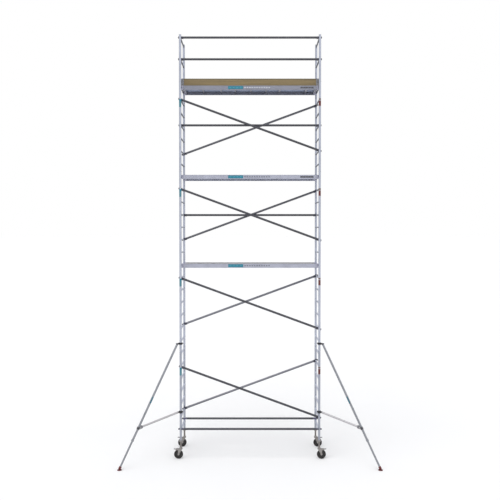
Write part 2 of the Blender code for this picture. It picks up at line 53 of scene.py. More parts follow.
# ---- sizes read from the frame ------------------------------------------------------------------
post_low, post_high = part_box("end_frame_1_right")
POST_FLAT = (post_high.x - post_low.x) / 2       # an eight-sided post, measured across its flats
POST_R = POST_FLAT / math.cos(math.pi / 8)
POST_X = (post_low.x + post_high.x) / 2
BAY = 2 * POST_X
NEAR_Y, FAR_Y = post_low.y + POST_FLAT, post_high.y - POST_FLAT
MID_Y = (NEAR_Y + FAR_Y) / 2
WIDTH = FAR_Y - NEAR_Y
FRAME_BOTTOM = post_low.z
FRAME_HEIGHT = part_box("end_frame_2_right")[0].z - FRAME_BOTTOM
TOP_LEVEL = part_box("guard_frame_right")[0].z
GUARD_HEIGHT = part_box("guard_frame_right")[1].z - TOP_LEVEL
AXLE_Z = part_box("castor_wheel_near_right")[1].z / 2

# ---- sizes of the parts -------------------------------------------------------------------------
LEVELS, RUNGS = 4, 7
PITCH = FRAME_HEIGHT / RUNGS
FIRST_RUNG = 0.2105        # lowest rung above a frame's foot
RUNG_R = 0.016
GUARD_RUNGS = (0.523, 0.994)
GAP = 0.0003
WALL = 0.002
SPIGOT_R, SPIGOT_BORE_R = 0.0224, 0.0195
SPIGOT_UP, SPIGOT_IN = 0.095, 0.1

BRACE_R = 0.0238
RUNG_GRIP, POST_GRIP = 0.0165, 0.0254
CLAW_WALL, CLAW_DEPTH, CLAW_REACH = 0.011, 0.033, 25.0
CLAW_INSET, CLAW_SECOND_INSET = 0.0475, 0.0965
SOCKET_LENGTH = 0.11
BASE_RAIL_Z = 0.653
LEVEL_RAIL_RUNGS = (17, 24)      # counted from the lowest rung, as all rung numbers are

LEG_R, LEG_BORE_R = 0.0205, 0.0165
LEG_BOTTOM, LEG_LENGTH = 0.235, 0.56
THREAD_PITCH, THREAD_DEPTH = 0.01, 0.0022
NUT_R, NUT_HEIGHT = 0.034, 0.035
TRAIL = 0.05
CHEEK_IN, CHEEK_OUT = 0.0265, 0.0315
CROWN_BOTTOM = 0.2087
PEDAL_X, PEDAL_Z = 0.1, 0.2035

PLATFORM_RUNGS = (13, 20, 27)
HATCH_SIDE = (-1, 1, 1)
DECK_HALF = 0.3
BEAM_DROP, BEAM_RISE, BEAM_FLANGE = 0.057, 0.034, 0.03
BEAM_HALF_LENGTH = BAY / 2 - 0.05
CAST_LENGTH, CAST_DEPTH, CLAW_LIP = 0.075, 0.0296, 0.01
MEMBERS = (-1.05, -0.65, -0.33, 0.02, 0.36)
MEMBER_HALF, MEMBER_HEIGHT = 0.015, 0.028
DECK_SEAT, DECK_THICK = 0.019, 0.012
DECK_TOP = DECK_SEAT + GAP + DECK_THICK
HATCH_X, HATCH_HALF_WIDTH, HATCH_CLEAR = (0.672, 1.248), 0.2265, 0.0015
HINGE_RISE, KNUCKLE_R, KNUCKLE, HINGE_LEAF = 0.0055, 0.005, 0.03, 0.035

STAB_ANGLE = 30.0
STAB_REACH = 1.398
UPPER_CLAMP_Z, LOWER_CLAMP_Z = 2.535, 1.03
CLAMP_BORE_R, CLAMP_R, CLAMP_HALF = 0.0263, 0.037, 0.022
HEAD_REACH, FOOT_AXIS_Z = 0.078, 0.03
STAB_R, STAB_BORE_R, INNER_R, INNER_BORE_R = 0.0225, 0.0207, 0.0195, 0.0165
SLEEVE_END, INNER_END = 0.6, 1.15
STRUT_R, STRUT_AT = 0.0205, 0.315
PAD_R, PAD_THICK = 0.049, 0.013

LABEL_PROUD = 0.0006             # a sticker's thickness
POST_STICKER_Z = 1.513           # above the foot of each frame


def rung_height(number):
    return FRAME_BOTTOM + FIRST_RUNG + PITCH * number


# ---- finishes -----------------------------------------------------------------------------------
class Nodes:
    """The node tree of a material or world, with a short way to add a node and feed its sockets."""

    def __init__(self, made):
        self.made = made
        made.use_nodes = True
        self.tree = made.node_tree

    def node(self, kind, links=(), **values):
        made = self.tree.nodes.new(kind)
        for key, value in values.items():
            setattr(made, key, value)
        for key, value in dict(links).items():
            self.feed(made.inputs[key], value)
        return made

    def feed(self, socket, value):
        if isinstance(value, bpy.types.NodeSocket):
            self.tree.links.new(value, socket)
        elif isinstance(value, tuple) and len(value) == 3 and len(socket.default_value) == 4:
            socket.default_value = (*value, 1.0)
        else:
            socket.default_value = value


class Finish(Nodes):
    """A material in the making, with short names for the nodes that it uses."""

    def __init__(self, name):
        super().__init__(bpy.data.materials.new(name))
        self.shader = self.tree.nodes["Principled BSDF"]
        self.place = self.node("ShaderNodeTexCoord").outputs["Object"]

    def stretched(self, stretch):
        return self.node("ShaderNodeMapping", {"Vector": self.place, "Scale": stretch}).outputs[0]

    def noise(self, scale, stretch=(1, 1, 1), detail=3.0):
        return self.node("ShaderNodeTexNoise", {"Vector": self.stretched(stretch), "Scale": scale,
                                                "Detail": detail}).outputs[0]

    def cells(self, scale, stretch=(1, 1, 1)):
        links = {"Vector": self.stretched(stretch), "Scale": scale}
        return self.node("ShaderNodeTexVoronoi", links).outputs["Distance"]

    def layers(self, scale, distortion):
        """Wavy layers one above another."""
        links = {"Vector": self.place, "Scale": scale, "Detail": 3.0, "Distortion": distortion}
        return self.node("ShaderNodeTexWave", links, bands_direction="Z").outputs[1]

    def span(self, value, low, high, start=0.0, end=1.0):
        """The value between low and high, spread from start to end."""
        return self.node("ShaderNodeMapRange", {"Value": value, "From Min": low, "From Max": high,
                                                "To Min": start, "To Max": end}).outputs[0]

    def mix(self, factor, first, second):
        return self.node("ShaderNodeMix", {0: factor, 6: first, 7: second}, data_type="RGBA").outputs[2]

    def multiply(self, first, second):
        return self.node("ShaderNodeMath", {0: first, 1: second}, operation="MULTIPLY").outputs[0]

    def mottle(self, pattern, colour, dark, light, low=0.35, high=0.65):
        """The colour, varied by a pattern from one shade of it to another."""
        return self.mix(self.span(pattern, low, high), shade(colour, dark), shade(colour, light))

    def blot(self, base, where, amount, colour):
        """The base with another colour over it, at most as strong as amount."""
        return self.mix(self.multiply(where, amount), base, colour)

    def edges(self, start=0.51, end=0.56):
        """1 on outer edges, where a finish rubs bright, and 0 on flat faces."""
        return self.span(self.node("ShaderNodeNewGeometry").outputs["Pointiness"], start, end)

    def finish(self, colour, roughness, metallic=0.0, bump=None, depth=0.0003, strength=0.4, coat=0.0):
        fed = {"Base Color": colour, "Roughness": roughness, "Metallic": metallic, "Coat Weight": coat}
        if bump is not None:
            raised = self.node("ShaderNodeBump", {"Height": bump, "Distance": depth, "Strength": strength})
            fed["Normal"] = raised.outputs[0]
        for key, value in fed.items():
            self.feed(self.shader.inputs[key], value)
        return self.made


def shade(colour, by):
    return tuple(min(1.0, part * by) for part in colour)


def drawn_metal(name, colour, roughness, along, metallic=0.9, underside_shade=1.0):
    """Extruded aluminium: fine die lines along one axis, and duller patches from handling.

    The last argument darkens the faces that look down to that share of the colour: painted shade beneath the
    part."""
    made = Finish(name)

    def stretch(by):
        return tuple(by if axis == along else 1.0 for axis in "XYZ")

    lines = made.noise(900.0, stretch(0.02), 2.0)
    patches = made.noise(5.0, detail=4.0)
    scuffs = made.span(made.noise(70.0, stretch(0.25), 5.0), 0.62, 0.72)
    base = made.mottle(patches, colour, 0.9, 1.05)
    base = made.mix(made.span(lines, 0.3, 0.7, 0.0, 0.35), base, shade(colour, 1.2))
    base = made.blot(base, scuffs, 0.5, shade(colour, 0.72))
    # painted shade: the faces that look down get a darker copy of the colour
    if underside_shade < 1.0:
        normal = made.node("ShaderNodeNewGeometry").outputs["Normal"]
        upwards = made.node("ShaderNodeSeparateXYZ", {0: normal}).outputs["Z"]
        base = made.mix(made.span(upwards, -0.35, 0.55), shade(colour, underside_shade), base)
    rough = made.span(patches, 0.3, 0.7, roughness - 0.07, roughness + 0.1)
    return made.finish(base, rough, metallic, lines, 0.0002, 0.25)


def cast_metal(name, colour, roughness):
    """Sand-cast or forged metal: grainy all over, rubbed bright along its edges."""
    made = Finish(name)
    grain = made.noise(420.0, detail=4.0)
    base = made.mottle(made.noise(28.0), colour, 0.82, 1.12)
    base = made.blot(base, made.edges(), 0.6, shade(colour, 1.7))
    rough = made.span(grain, 0.3, 0.7, roughness - 0.08, roughness + 0.12)
    return made.finish(base, rough, 0.85, grain, 0.0005, 0.45)


def zinc_plate(name, colour, roughness):
    """Zinc plate: faint crystals that vary in tone, and a few dull spots."""
    made = Finish(name)
    crystals = made.cells(160.0)
    spots = made.span(made.noise(24.0), 0.55, 0.7)
    base = made.mottle(crystals, colour, 0.88, 1.12, 0.0, 0.6)
    base = made.blot(base, spots, 0.6, shade(colour, 0.7))
    base = made.blot(base, made.edges(), 0.4, shade(colour, 1.5))
    rough = made.span(crystals, 0.0, 0.6, roughness, roughness + 0.15)
    return made.finish(base, rough, 0.95, made.noise(300.0), 0.0003, 0.3)


def painted(name, colour, roughness, metallic=0.0, worn=None):
    """Paint or powder coat: orange peel, some dust in it, and worn edges if a colour is given."""
    made = Finish(name)
    patches = made.noise(12.0)
    base = made.mottle(patches, colour, 0.85, 1.2)
    if worn:
        base = made.blot(base, made.edges(0.52, 0.57), made.span(made.noise(90.0), 0.4, 0.6), worn)
    rough = made.span(patches, 0.3, 0.7, roughness - 0.06, roughness + 0.1)
    return made.finish(base, rough, metallic, made.noise(350.0, detail=2.0), 0.0004, 0.3)


def rubber(name, colour, roughness, dusty):
    """Moulded rubber, dusty in its pores."""
    made = Finish(name)
    pores = made.noise(500.0, detail=4.0)
    dust = made.span(made.noise(18.0, detail=5.0), 0.5, 0.75)
    base = made.blot(made.mottle(pores, colour, 0.8, 1.25), dust, dusty, (0.22, 0.2, 0.18))
    rough = made.span(pores, 0.3, 0.7, roughness - 0.08, roughness + 0.1)
    return made.finish(base, rough, 0.0, pores, 0.0005, 0.5)


def deck_film(name, colour, roughness):
    """Phenolic film pressed with a fine wire mesh, scuffed by boots."""
    made = Finish(name)
    mesh = made.span(made.cells(190.0, (1, 1, 0.01)), 0.15, 0.45)
    scuffs = made.span(made.noise(9.0, (0.5, 1, 1), 6.0), 0.5, 0.7)
    base = made.mix(mesh, shade(colour, 0.75), shade(colour, 1.15))
    base = made.blot(base, scuffs, 0.45, shade(colour, 1.5))
    rough = made.span(scuffs, 0.0, 1.0, roughness, roughness + 0.2)
    return made.finish(base, rough, 0.0, mesh, 0.0006, 0.6, coat=0.15)


def ply_edge(name, light, dark):
    """The sawn edge of plywood: thin veneers, by turns along and across the grain."""
    made = Finish(name)
    layers = made.span(made.layers(210.0, 0.3), 0.35, 0.65)
    base = made.mix(layers, dark, light)
    base = made.mix(made.span(made.noise(240.0, (0.1, 0.1, 1)), 0.3, 0.7, 0.0, 0.4), base, shade(dark, 0.8))
    return made.finish(base, 0.75, 0.0, layers, 0.0004, 0.5)


def board_wood(name, colour):
    """Sealed plank with grain along X and darker late wood."""
    made = Finish(name)
    fibres = made.noise(160.0, (0.02, 1, 1), 6.0)
    base = made.mottle(made.noise(14.0, (0.07, 1, 1.6)), colour, 0.8, 1.18, 0.42, 0.58)
    base = made.mix(made.span(fibres, 0.35, 0.65, 0.0, 0.6), base, shade(colour, 0.7))
    base = made.blot(base, made.edges(), 0.5, shade(colour, 0.55))
    rough = made.span(fibres, 0.3, 0.7, 0.5, 0.68)
    return made.finish(base, rough, 0.0, fibres, 0.0004, 0.45, coat=0.1)


def sticker(name, colour):
    """Printed vinyl, a little faded and scuffed."""
    made = Finish(name)
    faded = made.noise(30.0, detail=5.0)
    rough = made.span(faded, 0.3, 0.7, 0.45, 0.6)
    return made.finish(made.mottle(faded, colour, 1.0, 1.25, 0.4, 0.7), rough, 0.0, made.noise(200.0),
                       0.0001, 0.2, coat=0.08)


FRAME_TONE, BRACE_TONE, BEAM_TONE = (0.46, 0.485, 0.56), (0.071, 0.072, 0.081), (0.395, 0.405, 0.475)
POST_METAL = drawn_metal("post_aluminium", shade(FRAME_TONE, 0.95), 0.34, "Z")
# the lowest frames' posts: a darker copy of the post aluminium, painted shade
PAINTED_SHADE_LOW_POST_METAL = drawn_metal("low_post_aluminium", shade(FRAME_TONE, 0.78), 0.36, "Z")
# rungs: lighter than the posts on their tops, painted light, and nearly black below, painted shade
RUNG_METAL = drawn_metal("rung_aluminium", shade(FRAME_TONE, 1.45), 0.38, "Y", underside_shade=0.09)
WELD_METAL = cast_metal("weld_aluminium", shade(FRAME_TONE, 0.75), 0.42)
# lighter copies of the brace aluminium, set by where each brace stands: painted light. The far diagonals of
# the two lower levels are lightest, the upper far diagonals less so, the far rail and base rails a little
BRACE_METAL, LIT_LOW_DIAGONAL_METAL, LIT_HIGH_DIAGONAL_METAL, LIT_FAR_BRACE_METAL = (
    drawn_metal(f"{name}_aluminium", shade(BRACE_TONE, by), 0.42, "X", metallic=0.75)
    for name, by in (("brace", 1.0), ("low_diagonal", 2.6), ("high_diagonal", 1.7), ("far_brace", 1.12)))
CLAW_METAL = cast_metal("claw_casting", (0.055, 0.055, 0.072), 0.48)
BASE_CLAW_METAL = cast_metal("base_claw_casting", (0.115, 0.115, 0.165), 0.48)
LATCH_METAL = painted("latch_black", (0.03, 0.03, 0.036), 0.45, 0.3, worn=(0.2, 0.2, 0.22))
BEAM_METAL = drawn_metal("beam_aluminium", BEAM_TONE, 0.38, "X")
SHADED_BEAM_METAL = drawn_metal("shaded_beam_aluminium", shade(BEAM_TONE, 0.62), 0.42, "X")
HOOK_METAL = cast_metal("hook_casting", (0.3, 0.3, 0.37), 0.45)
STAB_METAL = drawn_metal("stabiliser_aluminium", (0.26, 0.27, 0.29), 0.38, "Z")
STRUT_METAL = drawn_metal("strut_aluminium", (0.42, 0.41, 0.42), 0.38, "Z")
CLAMP_METAL = painted("clamp_black", (0.004, 0.0045, 0.008), 0.55, 0.2, worn=(0.05, 0.05, 0.06))
BRACKET_METAL = painted("bracket_grey", (0.06, 0.06, 0.068), 0.45, 0.5, worn=(0.3, 0.3, 0.32))
ZINC = zinc_plate("zinc_plate", (0.27, 0.255, 0.245), 0.34)
THREAD_ZINC = zinc_plate("thread_zinc", (0.19, 0.175, 0.165), 0.36)
TYRE = rubber("tyre_rubber", (0.01, 0.008, 0.0075), 0.78, 0.1)
WHEEL_CORE = painted("wheel_core", (0.02, 0.018, 0.018), 0.5)
PEDAL_PAINT = painted("pedal_paint", (0.12, 0.11, 0.105), 0.45, 0.5, worn=(0.4, 0.4, 0.4))
DECK_FILM = deck_film("deck_film", (0.235, 0.23, 0.22), 0.5)
DECK_UNDERSIDE = painted("deck_underside", (0.235, 0.275, 0.385), 0.6)
PLY_EDGE = ply_edge("ply_edge", (0.42, 0.3, 0.17), (0.17, 0.1, 0.055))
TOE_WOOD = board_wood("toe_board_wood", (0.245, 0.178, 0.078))
TOE_EDGE = board_wood("toe_board_edge", (0.135, 0.105, 0.05))
FOOT_RUBBER = rubber("foot_rubber_red", (0.1, 0.012, 0.014), 0.7, 0.12)
PLUG = painted("plug_grey", (0.42, 0.43, 0.47), 0.5)
TEAL, LEG_TEAL, POST_TEAL, PALE_TEAL, RED, BROWN, DARK_PRINT_AND_HOLE_SHADE, GREY, PALE = (sticker(*look) for look in (
    ("sticker_teal", (0.01, 0.15, 0.215)), ("leg_sticker_teal", (0.004, 0.095, 0.14)),
    ("post_sticker_teal", (0.055, 0.175, 0.215)), ("sticker_pale_teal", (0.035, 0.225, 0.3)),
    ("sticker_red", (0.095, 0.014, 0.012)), ("sticker_brown", (0.11, 0.065, 0.045)),
    ("sticker_dark", (0.045, 0.042, 0.05)), ("sticker_grey", (0.13, 0.14, 0.17)),
    ("sticker_pale", (0.42, 0.44, 0.48))))


# ---- shapes -------------------------------------------------------------------------------------
def shift(x=0.0, y=0.0, z=0.0):
    return Matrix.Translation((x, y, z))


def spin(degrees, axis="Z"):
    return Matrix.Rotation(math.radians(degrees), 4, axis)


LAY_X, LAY_Y = spin(90, "Y"), spin(-90, "X")     # turn a shape made along Z to lie along X or Y
OVER = spin(180, "X")                            # and turn it end for end


def arc(radius, start, end, steps, centre=(0.0, 0.0)):
    """Points on a circle from one angle to another, in degrees."""
    angles = [math.radians(start + (end - start) * i / steps) for i in range(steps + 1)]
    return [(centre[0] + radius * math.cos(a), centre[1] + radius * math.sin(a)) for a in angles]


def mm(*points):
    """Outline points given in millimetres, for shapes whose sizes depend on no other."""
    return [(a / 1000, b / 1000) for a, b in points]


def closed_up(bm):
    bmesh.ops.recalc_face_normals(bm, faces=bm.faces)
    return bm


def lathe(profile, sides, loop=False):
    """Solid turned about Z through (radius, height) points; loop closes the profile as a ring."""
    bm = bmesh.new()
    turns = [2 * math.pi * (i + 0.5) / sides for i in range(sides)]
    rings = []
    for radius, height in profile:
        if radius < 1e-6:
            rings.append([bm.verts.new((0, 0, height))])
        else:
            rings.append([bm.verts.new((radius * math.cos(a), radius * math.sin(a), height)) for a in turns])
    for lower, upper in list(zip(rings, rings[1:])) + ([(rings[-1], rings[0])] if loop else []):
        for i in range(sides):
            j = (i + 1) % sides
            corners = [ring[k % len(ring)] for ring, k in ((lower, i), (lower, j), (upper, j), (upper, i))]
            bm.faces.new(list(dict.fromkeys(corners)))
    if not loop:
        for ring in (rings[0], rings[-1]):
            if len(ring) > 1:
                bm.faces.new(ring)
    return closed_up(bm)


def rod(radius, start, end, sides, chamfer=0.0008):
    """Round bar along Z with eased ends."""
    return lathe([(radius - chamfer, start), (radius, start + chamfer), (radius, end - chamfer),
                  (radius - chamfer, end)], sides)


def pipe(radius, bore, start, end, sides=28, chamfer=0.0006):
    """Hollow tube along Z with eased ends."""
    return lathe([(radius - chamfer, start), (radius, start + chamfer), (radius, end - chamfer),
                  (radius - chamfer, end), (bore + chamfer / 2, end), (bore, end - chamfer),
                  (bore, start + chamfer), (bore + chamfer / 2, start)], sides, loop=True)


def ring_profile(half):
    """Profile of a ring that is the same on both sides of its middle plane, from the upper half of it."""
    return [(radius, -height) for radius, height in half] + half[::-1]


def dome(radius, height):
    """Rivet or button head on the plane z = 0."""
    profile = [(radius, -0.0005), (radius, height * 0.3), (radius * 0.72, height * 0.8), (0, height)]
    return lathe(profile, 12)


def hexagon(radius, start, end):
    """Bolt head or nut with its corners turned off."""
    turned = radius * 0.86
    return lathe([(turned, start), (radius, start + 0.001), (radius, end - 0.001), (turned, end)], 6)


def eased(bm, width, segments):
    """Rounds every edge that turns by more than 30 degrees."""
    sharp = [e for e in bm.edges if e.is_manifold and e.calc_face_angle() > math.radians(30)]
    bmesh.ops.bevel(bm, geom=sharp, offset=width, segments=segments, profile=0.6, affect="EDGES",
                    clamp_overlap=True)
    return bm


def prism(outline, depth, ease=0.0, segments=2):
    """Outline of (x, z) points, as thick as `depth` along Y and centred on it."""
    bm = bmesh.new()
    front = [bm.verts.new((x, -depth / 2, z)) for x, z in outline]
    back = [bm.verts.new((x, depth / 2, z)) for x, z in outline]
    bm.faces.new(front)
    bm.faces.new(back[::-1])
    for i in range(len(outline)):
        j = (i + 1) % len(outline)
        bm.faces.new((front[j], front[i], back[i], back[j]))
    closed_up(bm)
    return eased(bm, ease, segments) if ease else bm


def block(low, high, ease=0.0, segments=2):
    """Box between two opposite corners, with eased edges."""
    (x0, y0, z0), (x1, y1, z1) = low, high
    bm = prism([(x0, z0), (x1, z0), (x1, z1), (x0, z1)], y1 - y0, ease, segments)
    bmesh.ops.translate(bm, vec=(0, (y0 + y1) / 2, 0), verts=bm.verts)
    return bm


def sweep(path, section, up, closed=False, swell=None):
    """Section of (across, up) points carried along a path; swell scales it at each point."""
    bm, rings, count = bmesh.new(), [], len(path)
    for i, point in enumerate(path):
        ahead = path[(i + 1) % count] if closed or i < count - 1 else point
        behind = path[i - 1] if closed or i > 0 else point
        along = (Vector(ahead) - Vector(behind)).normalized()
        across = along.cross(Vector(up)).normalized()
        above = across.cross(along)
        size = swell(i / count) if swell else 1.0
        rings.append([bm.verts.new(Vector(point) + across * u * size + above * v * size) for u, v in section])
    pairs = list(zip(rings, rings[1:])) + ([(rings[-1], rings[0])] if closed else [])
    for first, second in pairs:
        for i in range(len(section)):
            j = (i + 1) % len(section)
            bm.faces.new((first[i], first[j], second[j], second[i]))
    if not closed:
        bm.faces.new(rings[0])
        bm.faces.new(rings[-1])
    return closed_up(bm)


def round_section(radius, sides):
    return arc(radius, 0, 360 * (sides - 1) / sides, sides - 1)


def eye(edge, radius, centre):
    """Outline of a lug with a round end, from the points along one edge of it."""
    return [(x, -z) for x, z in edge] + arc(radius, -80, 80, 8, (centre, 0.0)) + edge[::-1]


def wrap(radius, thick, z0, z1, start, end):
    """Sheet bent round the Z axis, such as a sticker on a tube."""
    section = [(-thick / 2, z0), (thick / 2, z0), (thick / 2, z1), (-thick / 2, z1)]
    path = [(x, y, 0) for x, y in arc(radius + thick / 2, start, end, 14)]
    return sweep(path, section, (0, 0, 1))


def bench_matrix(start, end):
    """Lays a shape made along +Z from `start` towards `end`."""
    start, end = Vector(start), Vector(end)
    return Matrix.Translation(start) @ (end - start).to_track_quat("Z", "Y").to_matrix().to_4x4()


# ---- pieces -------------------------------------------------------------------------------------
class Piece:
    """One mesh in the making: shapes joined together, each with its own finish."""

    def __init__(self):
        self.bm, self.finishes = bmesh.new(), []

    def index(self, finish):
        if finish not in self.finishes:
            self.finishes.append(finish)
        return self.finishes.index(finish)

    def add(self, shape, finish, *places):
        index = self.index(finish)
        for face in shape.faces:
            face.material_index = index
            face.smooth = True
        for matrix in places or (IDENTITY,):
            part = bpy.data.meshes.new("part")
            shape.to_mesh(part)
            part.transform(matrix)
            self.bm.from_mesh(part)
            bpy.data.meshes.remove(part)
        shape.free()
        return self

    def bolt(self, radius, ends, head, heads, *places):
        """Plated bolt along Z with a hexagon of radius `head` at each (low, high) of heads."""
        self.add(rod(radius, *ends, 12), ZINC, *places)
        for low, high in heads:
            self.add(hexagon(head, low, high), ZINC, *places)

    def paint(self, finish, chosen):
        """Gives the faces for which chosen(face) is true another finish."""
        index = self.index(finish)
        for face in self.bm.faces:
            face.normal_update()
            if chosen(face):
                face.material_index = index
        return self

    def mesh(self, name):
        mesh = bpy.data.meshes.new(name)
        self.bm.to_mesh(mesh)
        self.bm.free()
        for finish in self.finishes:
            mesh.materials.append(finish)
        mesh.set_sharp_from_angle(angle=math.radians(34))
        return mesh


def linked(name, data, matrix=IDENTITY):
    """A new object in the scene."""
    made = bpy.data.objects.new(name, data)
    bpy.context.scene.collection.objects.link(made)
    made.matrix_world = matrix
    return made


def place(name, mesh, body, matrix=IDENTITY, replaces=()):
    """Puts a piece where it belongs, on the CAD body that carries it."""
    made = linked(name, mesh, matrix)
    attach(made, body)
    if replaces:
        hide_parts(*replaces)


# ---- camera, light and floor --------------------------------------------------------------------
def build_floor():
    """Pale paper that reaches far past what the camera sees."""
    half, height = 400.0, -0.0008
    bm = bmesh.new()
    corners = ((-half, -half), (half, -half), (half, half), (-half, half))
    bm.faces.new([bm.verts.new((x, y, height)) for x, y in corners])
    mesh = bpy.data.meshes.new("floor")
    bm.to_mesh(mesh)
    bm.free()
    paper = Finish("floor_paper")
    mottled = paper.mix(paper.noise(0.6), (0.82, 0.82, 0.817), (0.835, 0.835, 0.832))
    mesh.materials.append(paper.finish(mottled, 0.9))
    floor = linked("floor", mesh)


def build_surroundings():
    """White to the camera; to the tower a soft sky, stronger in front of it than behind."""
    sky = Nodes(bpy.data.worlds.new("studio"))
    towards = sky.node("ShaderNodeSeparateXYZ", {0: sky.node("ShaderNodeTexCoord").outputs["Generated"]})
    tint = sky.node("ShaderNodeValToRGB", {0: towards.outputs["Z"]})
    for stop, colour in zip(tint.color_ramp.elements, ((0.62, 0.63, 0.66, 1), (0.98, 0.98, 1.0, 1))):
        stop.color = colour
    strength = sky.node("ShaderNodeMapRange", {0: towards.outputs["Y"], 1: -0.9, 2: 0.7, 3: 1.35, 4: 0.8})
    light = sky.tree.nodes["Background"]
    sky.feed(light.inputs["Color"], tint.outputs[0])
    sky.feed(light.inputs["Strength"], strength.outputs[0])
    white = sky.node("ShaderNodeBackground", {"Color": (1, 1, 1)})
    seen = sky.node("ShaderNodeLightPath").outputs["Is Camera Ray"]
    chosen = sky.node("ShaderNodeMixShader", {0: seen, 1: light.outputs[0], 2: white.outputs[0]})
    sky.feed(sky.tree.nodes["World Output"].inputs["Surface"], chosen.outputs[0])
    bpy.context.scene.world = sky.made


def build_lights_and_camera():
    """Two wide soft suns, and the camera in front of the tower."""
    for name, energy, wide, tilt, turn in (("key_sun", 1.05, 55, 32, -35), ("fill_sun", 0.35, 80, 55, 40)):
        lamp = bpy.data.lights.new(name, "SUN")
        lamp.energy, lamp.angle = energy, math.radians(wide)
        linked(name, lamp, spin(turn) @ spin(tilt, "X"))

    eye_distance, eye_height, tilt_down = 14.29, 5.05, 1.11
    lens = bpy.data.cameras.new("camera")
    lens.lens, lens.sensor_width, lens.shift_y, lens.clip_end = 47.1, 36.0, -0.0171, 2000.0
    view = shift(0, NEAR_Y - eye_distance, eye_height) @ spin(90 - tilt_down, "X")
    bpy.context.scene.camera = linked("camera", lens, view)
    bpy.context.scene.view_settings.view_transform = "Standard"


# ---- ladder frames ------------------------------------------------------------------------------
def rung_shape():
    """Ribbed rung along +Y between two posts, its ends cut to the posts' round walls."""
    ribs, rib_depth, seat = 22, 0.0007, POST_R - WALL / 2
    bm, rings = bmesh.new(), []
    for end in (0, 1):
        ring = []
        for i in range(2 * ribs):
            a = math.pi * i / ribs
            radius = RUNG_R - rib_depth * (i % 2)
            x, z = radius * math.cos(a), radius * math.sin(a)
            reach = math.sqrt(seat ** 2 - x ** 2)
            ring.append(bm.verts.new((x, WIDTH - reach if end else reach, z)))
        tip = bm.verts.new((0, WIDTH - seat if end else seat, 0))
        for i in range(2 * ribs):
            bm.faces.new((ring[i], ring[(i + 1) % (2 * ribs)], tip))
        rings.append(ring)
    for i in range(2 * ribs):
        j = (i + 1) % (2 * ribs)
        bm.faces.new((rings[0][i], rings[0][j], rings[1][j], rings[1][i]))
    return closed_up(bm)


def weld_shape():
    """Rippled weld bead where a rung meets the post at the origin."""
    steps, bead = 26, 0.0026
    path = []
    for i in range(steps):
        a = 2 * math.pi * i / steps
        x, z = (RUNG_R + 0.0008) * math.cos(a), (RUNG_R + 0.0008) * math.sin(a)
        path.append((x, math.sqrt(POST_R ** 2 - x ** 2) + 0.0004, z))
    return sweep(path, round_section(bead, 5), (0, 1, 0), closed=True,
                 swell=lambda part: 1 + 0.16 * math.cos(2 * math.pi * 13 * part))


BOTH_POSTS = (IDENTITY, shift(y=WIDTH))


def ladder(heights, top, metal=POST_METAL):
    """Two posts up to `top` with welded rungs; origin at the foot of the near post."""
    piece = Piece()
    piece.add(pipe(POST_R, POST_R - WALL, 0.0, top, 32), metal, *BOTH_POSTS)
    piece.add(rung_shape(), RUNG_METAL, *(shift(z=h) for h in heights))
    inward = (IDENTITY, shift(y=WIDTH) @ spin(180))
    piece.add(weld_shape(), WELD_METAL, *(shift(z=h) @ side for h in heights for side in inward))
    return piece


def end_frame_mesh(metal):
    top = FRAME_HEIGHT - GAP
    piece = ladder([FIRST_RUNG + PITCH * k for k in range(RUNGS)], top, metal)
    spigot = pipe(SPIGOT_R, SPIGOT_BORE_R, top - SPIGOT_IN, top + SPIGOT_UP, 24, 0.0015)
    piece.add(spigot, ZINC, *BOTH_POSTS)
    rivets = [post @ shift(side * (POST_R - 0.0003), 0, top - down) @ spin(90 * side, "Y")
              for side in (-1, 1) for post in BOTH_POSTS for down in (0.03, 0.075)]
    piece.add(dome(0.0042, 0.0016), ZINC, *rivets)
    return piece.mesh("end_frame")


def guard_frame_mesh():
    lip, top, inside = GUARD_HEIGHT - 0.006, GUARD_HEIGHT, POST_R - WALL - GAP
    piece = ladder(GUARD_RUNGS, lip)
    plug = lathe([(0, lip - 0.025), (inside, lip - 0.025), (inside, lip + GAP), (POST_R, lip + GAP),
                  (POST_R, top - 0.003), (POST_R - 0.003, top), (0, top)], 28)
    piece.add(plug, PLUG, *BOTH_POSTS)
    return piece.mesh("guard_frame")


def lock_clip_mesh():
    """Spring wire round the foot of each post, with its peg through post and spigot."""
    wire, height = 0.0013, 0.032
    ring = [(x, y, height) for x, y in arc(POST_R + wire, 20, 340, 22)]
    tail = [(x, y, height - 0.01) for x, y in arc(POST_R + wire, 350, 370, 4)]
    piece = Piece()
    for path in (ring, [ring[-1], *tail, ring[0]]):
        piece.add(sweep(path, round_section(wire, 6), (0, 0, 1)), ZINC, *BOTH_POSTS)
    peg = shift(-POST_R - 0.001, 0, height) @ spin(-90, "Y")
    piece.add(dome(0.0045, 0.004), ZINC, *(post @ peg for post in BOTH_POSTS))
    return piece.mesh("lock_clip")


def build_frames():
    # the lowest frames take the darker copy of the post metal: painted shade
    low, high = end_frame_mesh(PAINTED_SHADE_LOW_POST_METAL), end_frame_mesh(POST_METAL)
    guard_mesh, clip_mesh = guard_frame_mesh(), lock_clip_mesh()
    for side, word in SIDES:
        for level in range(LEVELS):
            where = shift(side * POST_X, NEAR_Y, FRAME_BOTTOM + level * FRAME_HEIGHT)
            place(f"ladder_{level + 1}_{word}", high if level else low, "tower", where,
                  [f"end_frame_{level + 1}_{word}"])
        where = shift(side * POST_X, NEAR_Y, TOP_LEVEL)
        place(f"guard_ladder_{word}", guard_mesh, "tower", where, [f"guard_frame_{word}"])
        turn = spin(180) if side < 0 else IDENTITY
        for level in range(1, LEVELS + 1):
            foot = shift(side * POST_X, MID_Y, FRAME_BOTTOM + level * FRAME_HEIGHT)
            place(f"lock_clips_{level + 1}_{word}", clip_mesh, "tower",
                  foot @ turn @ shift(y=-WIDTH / 2))


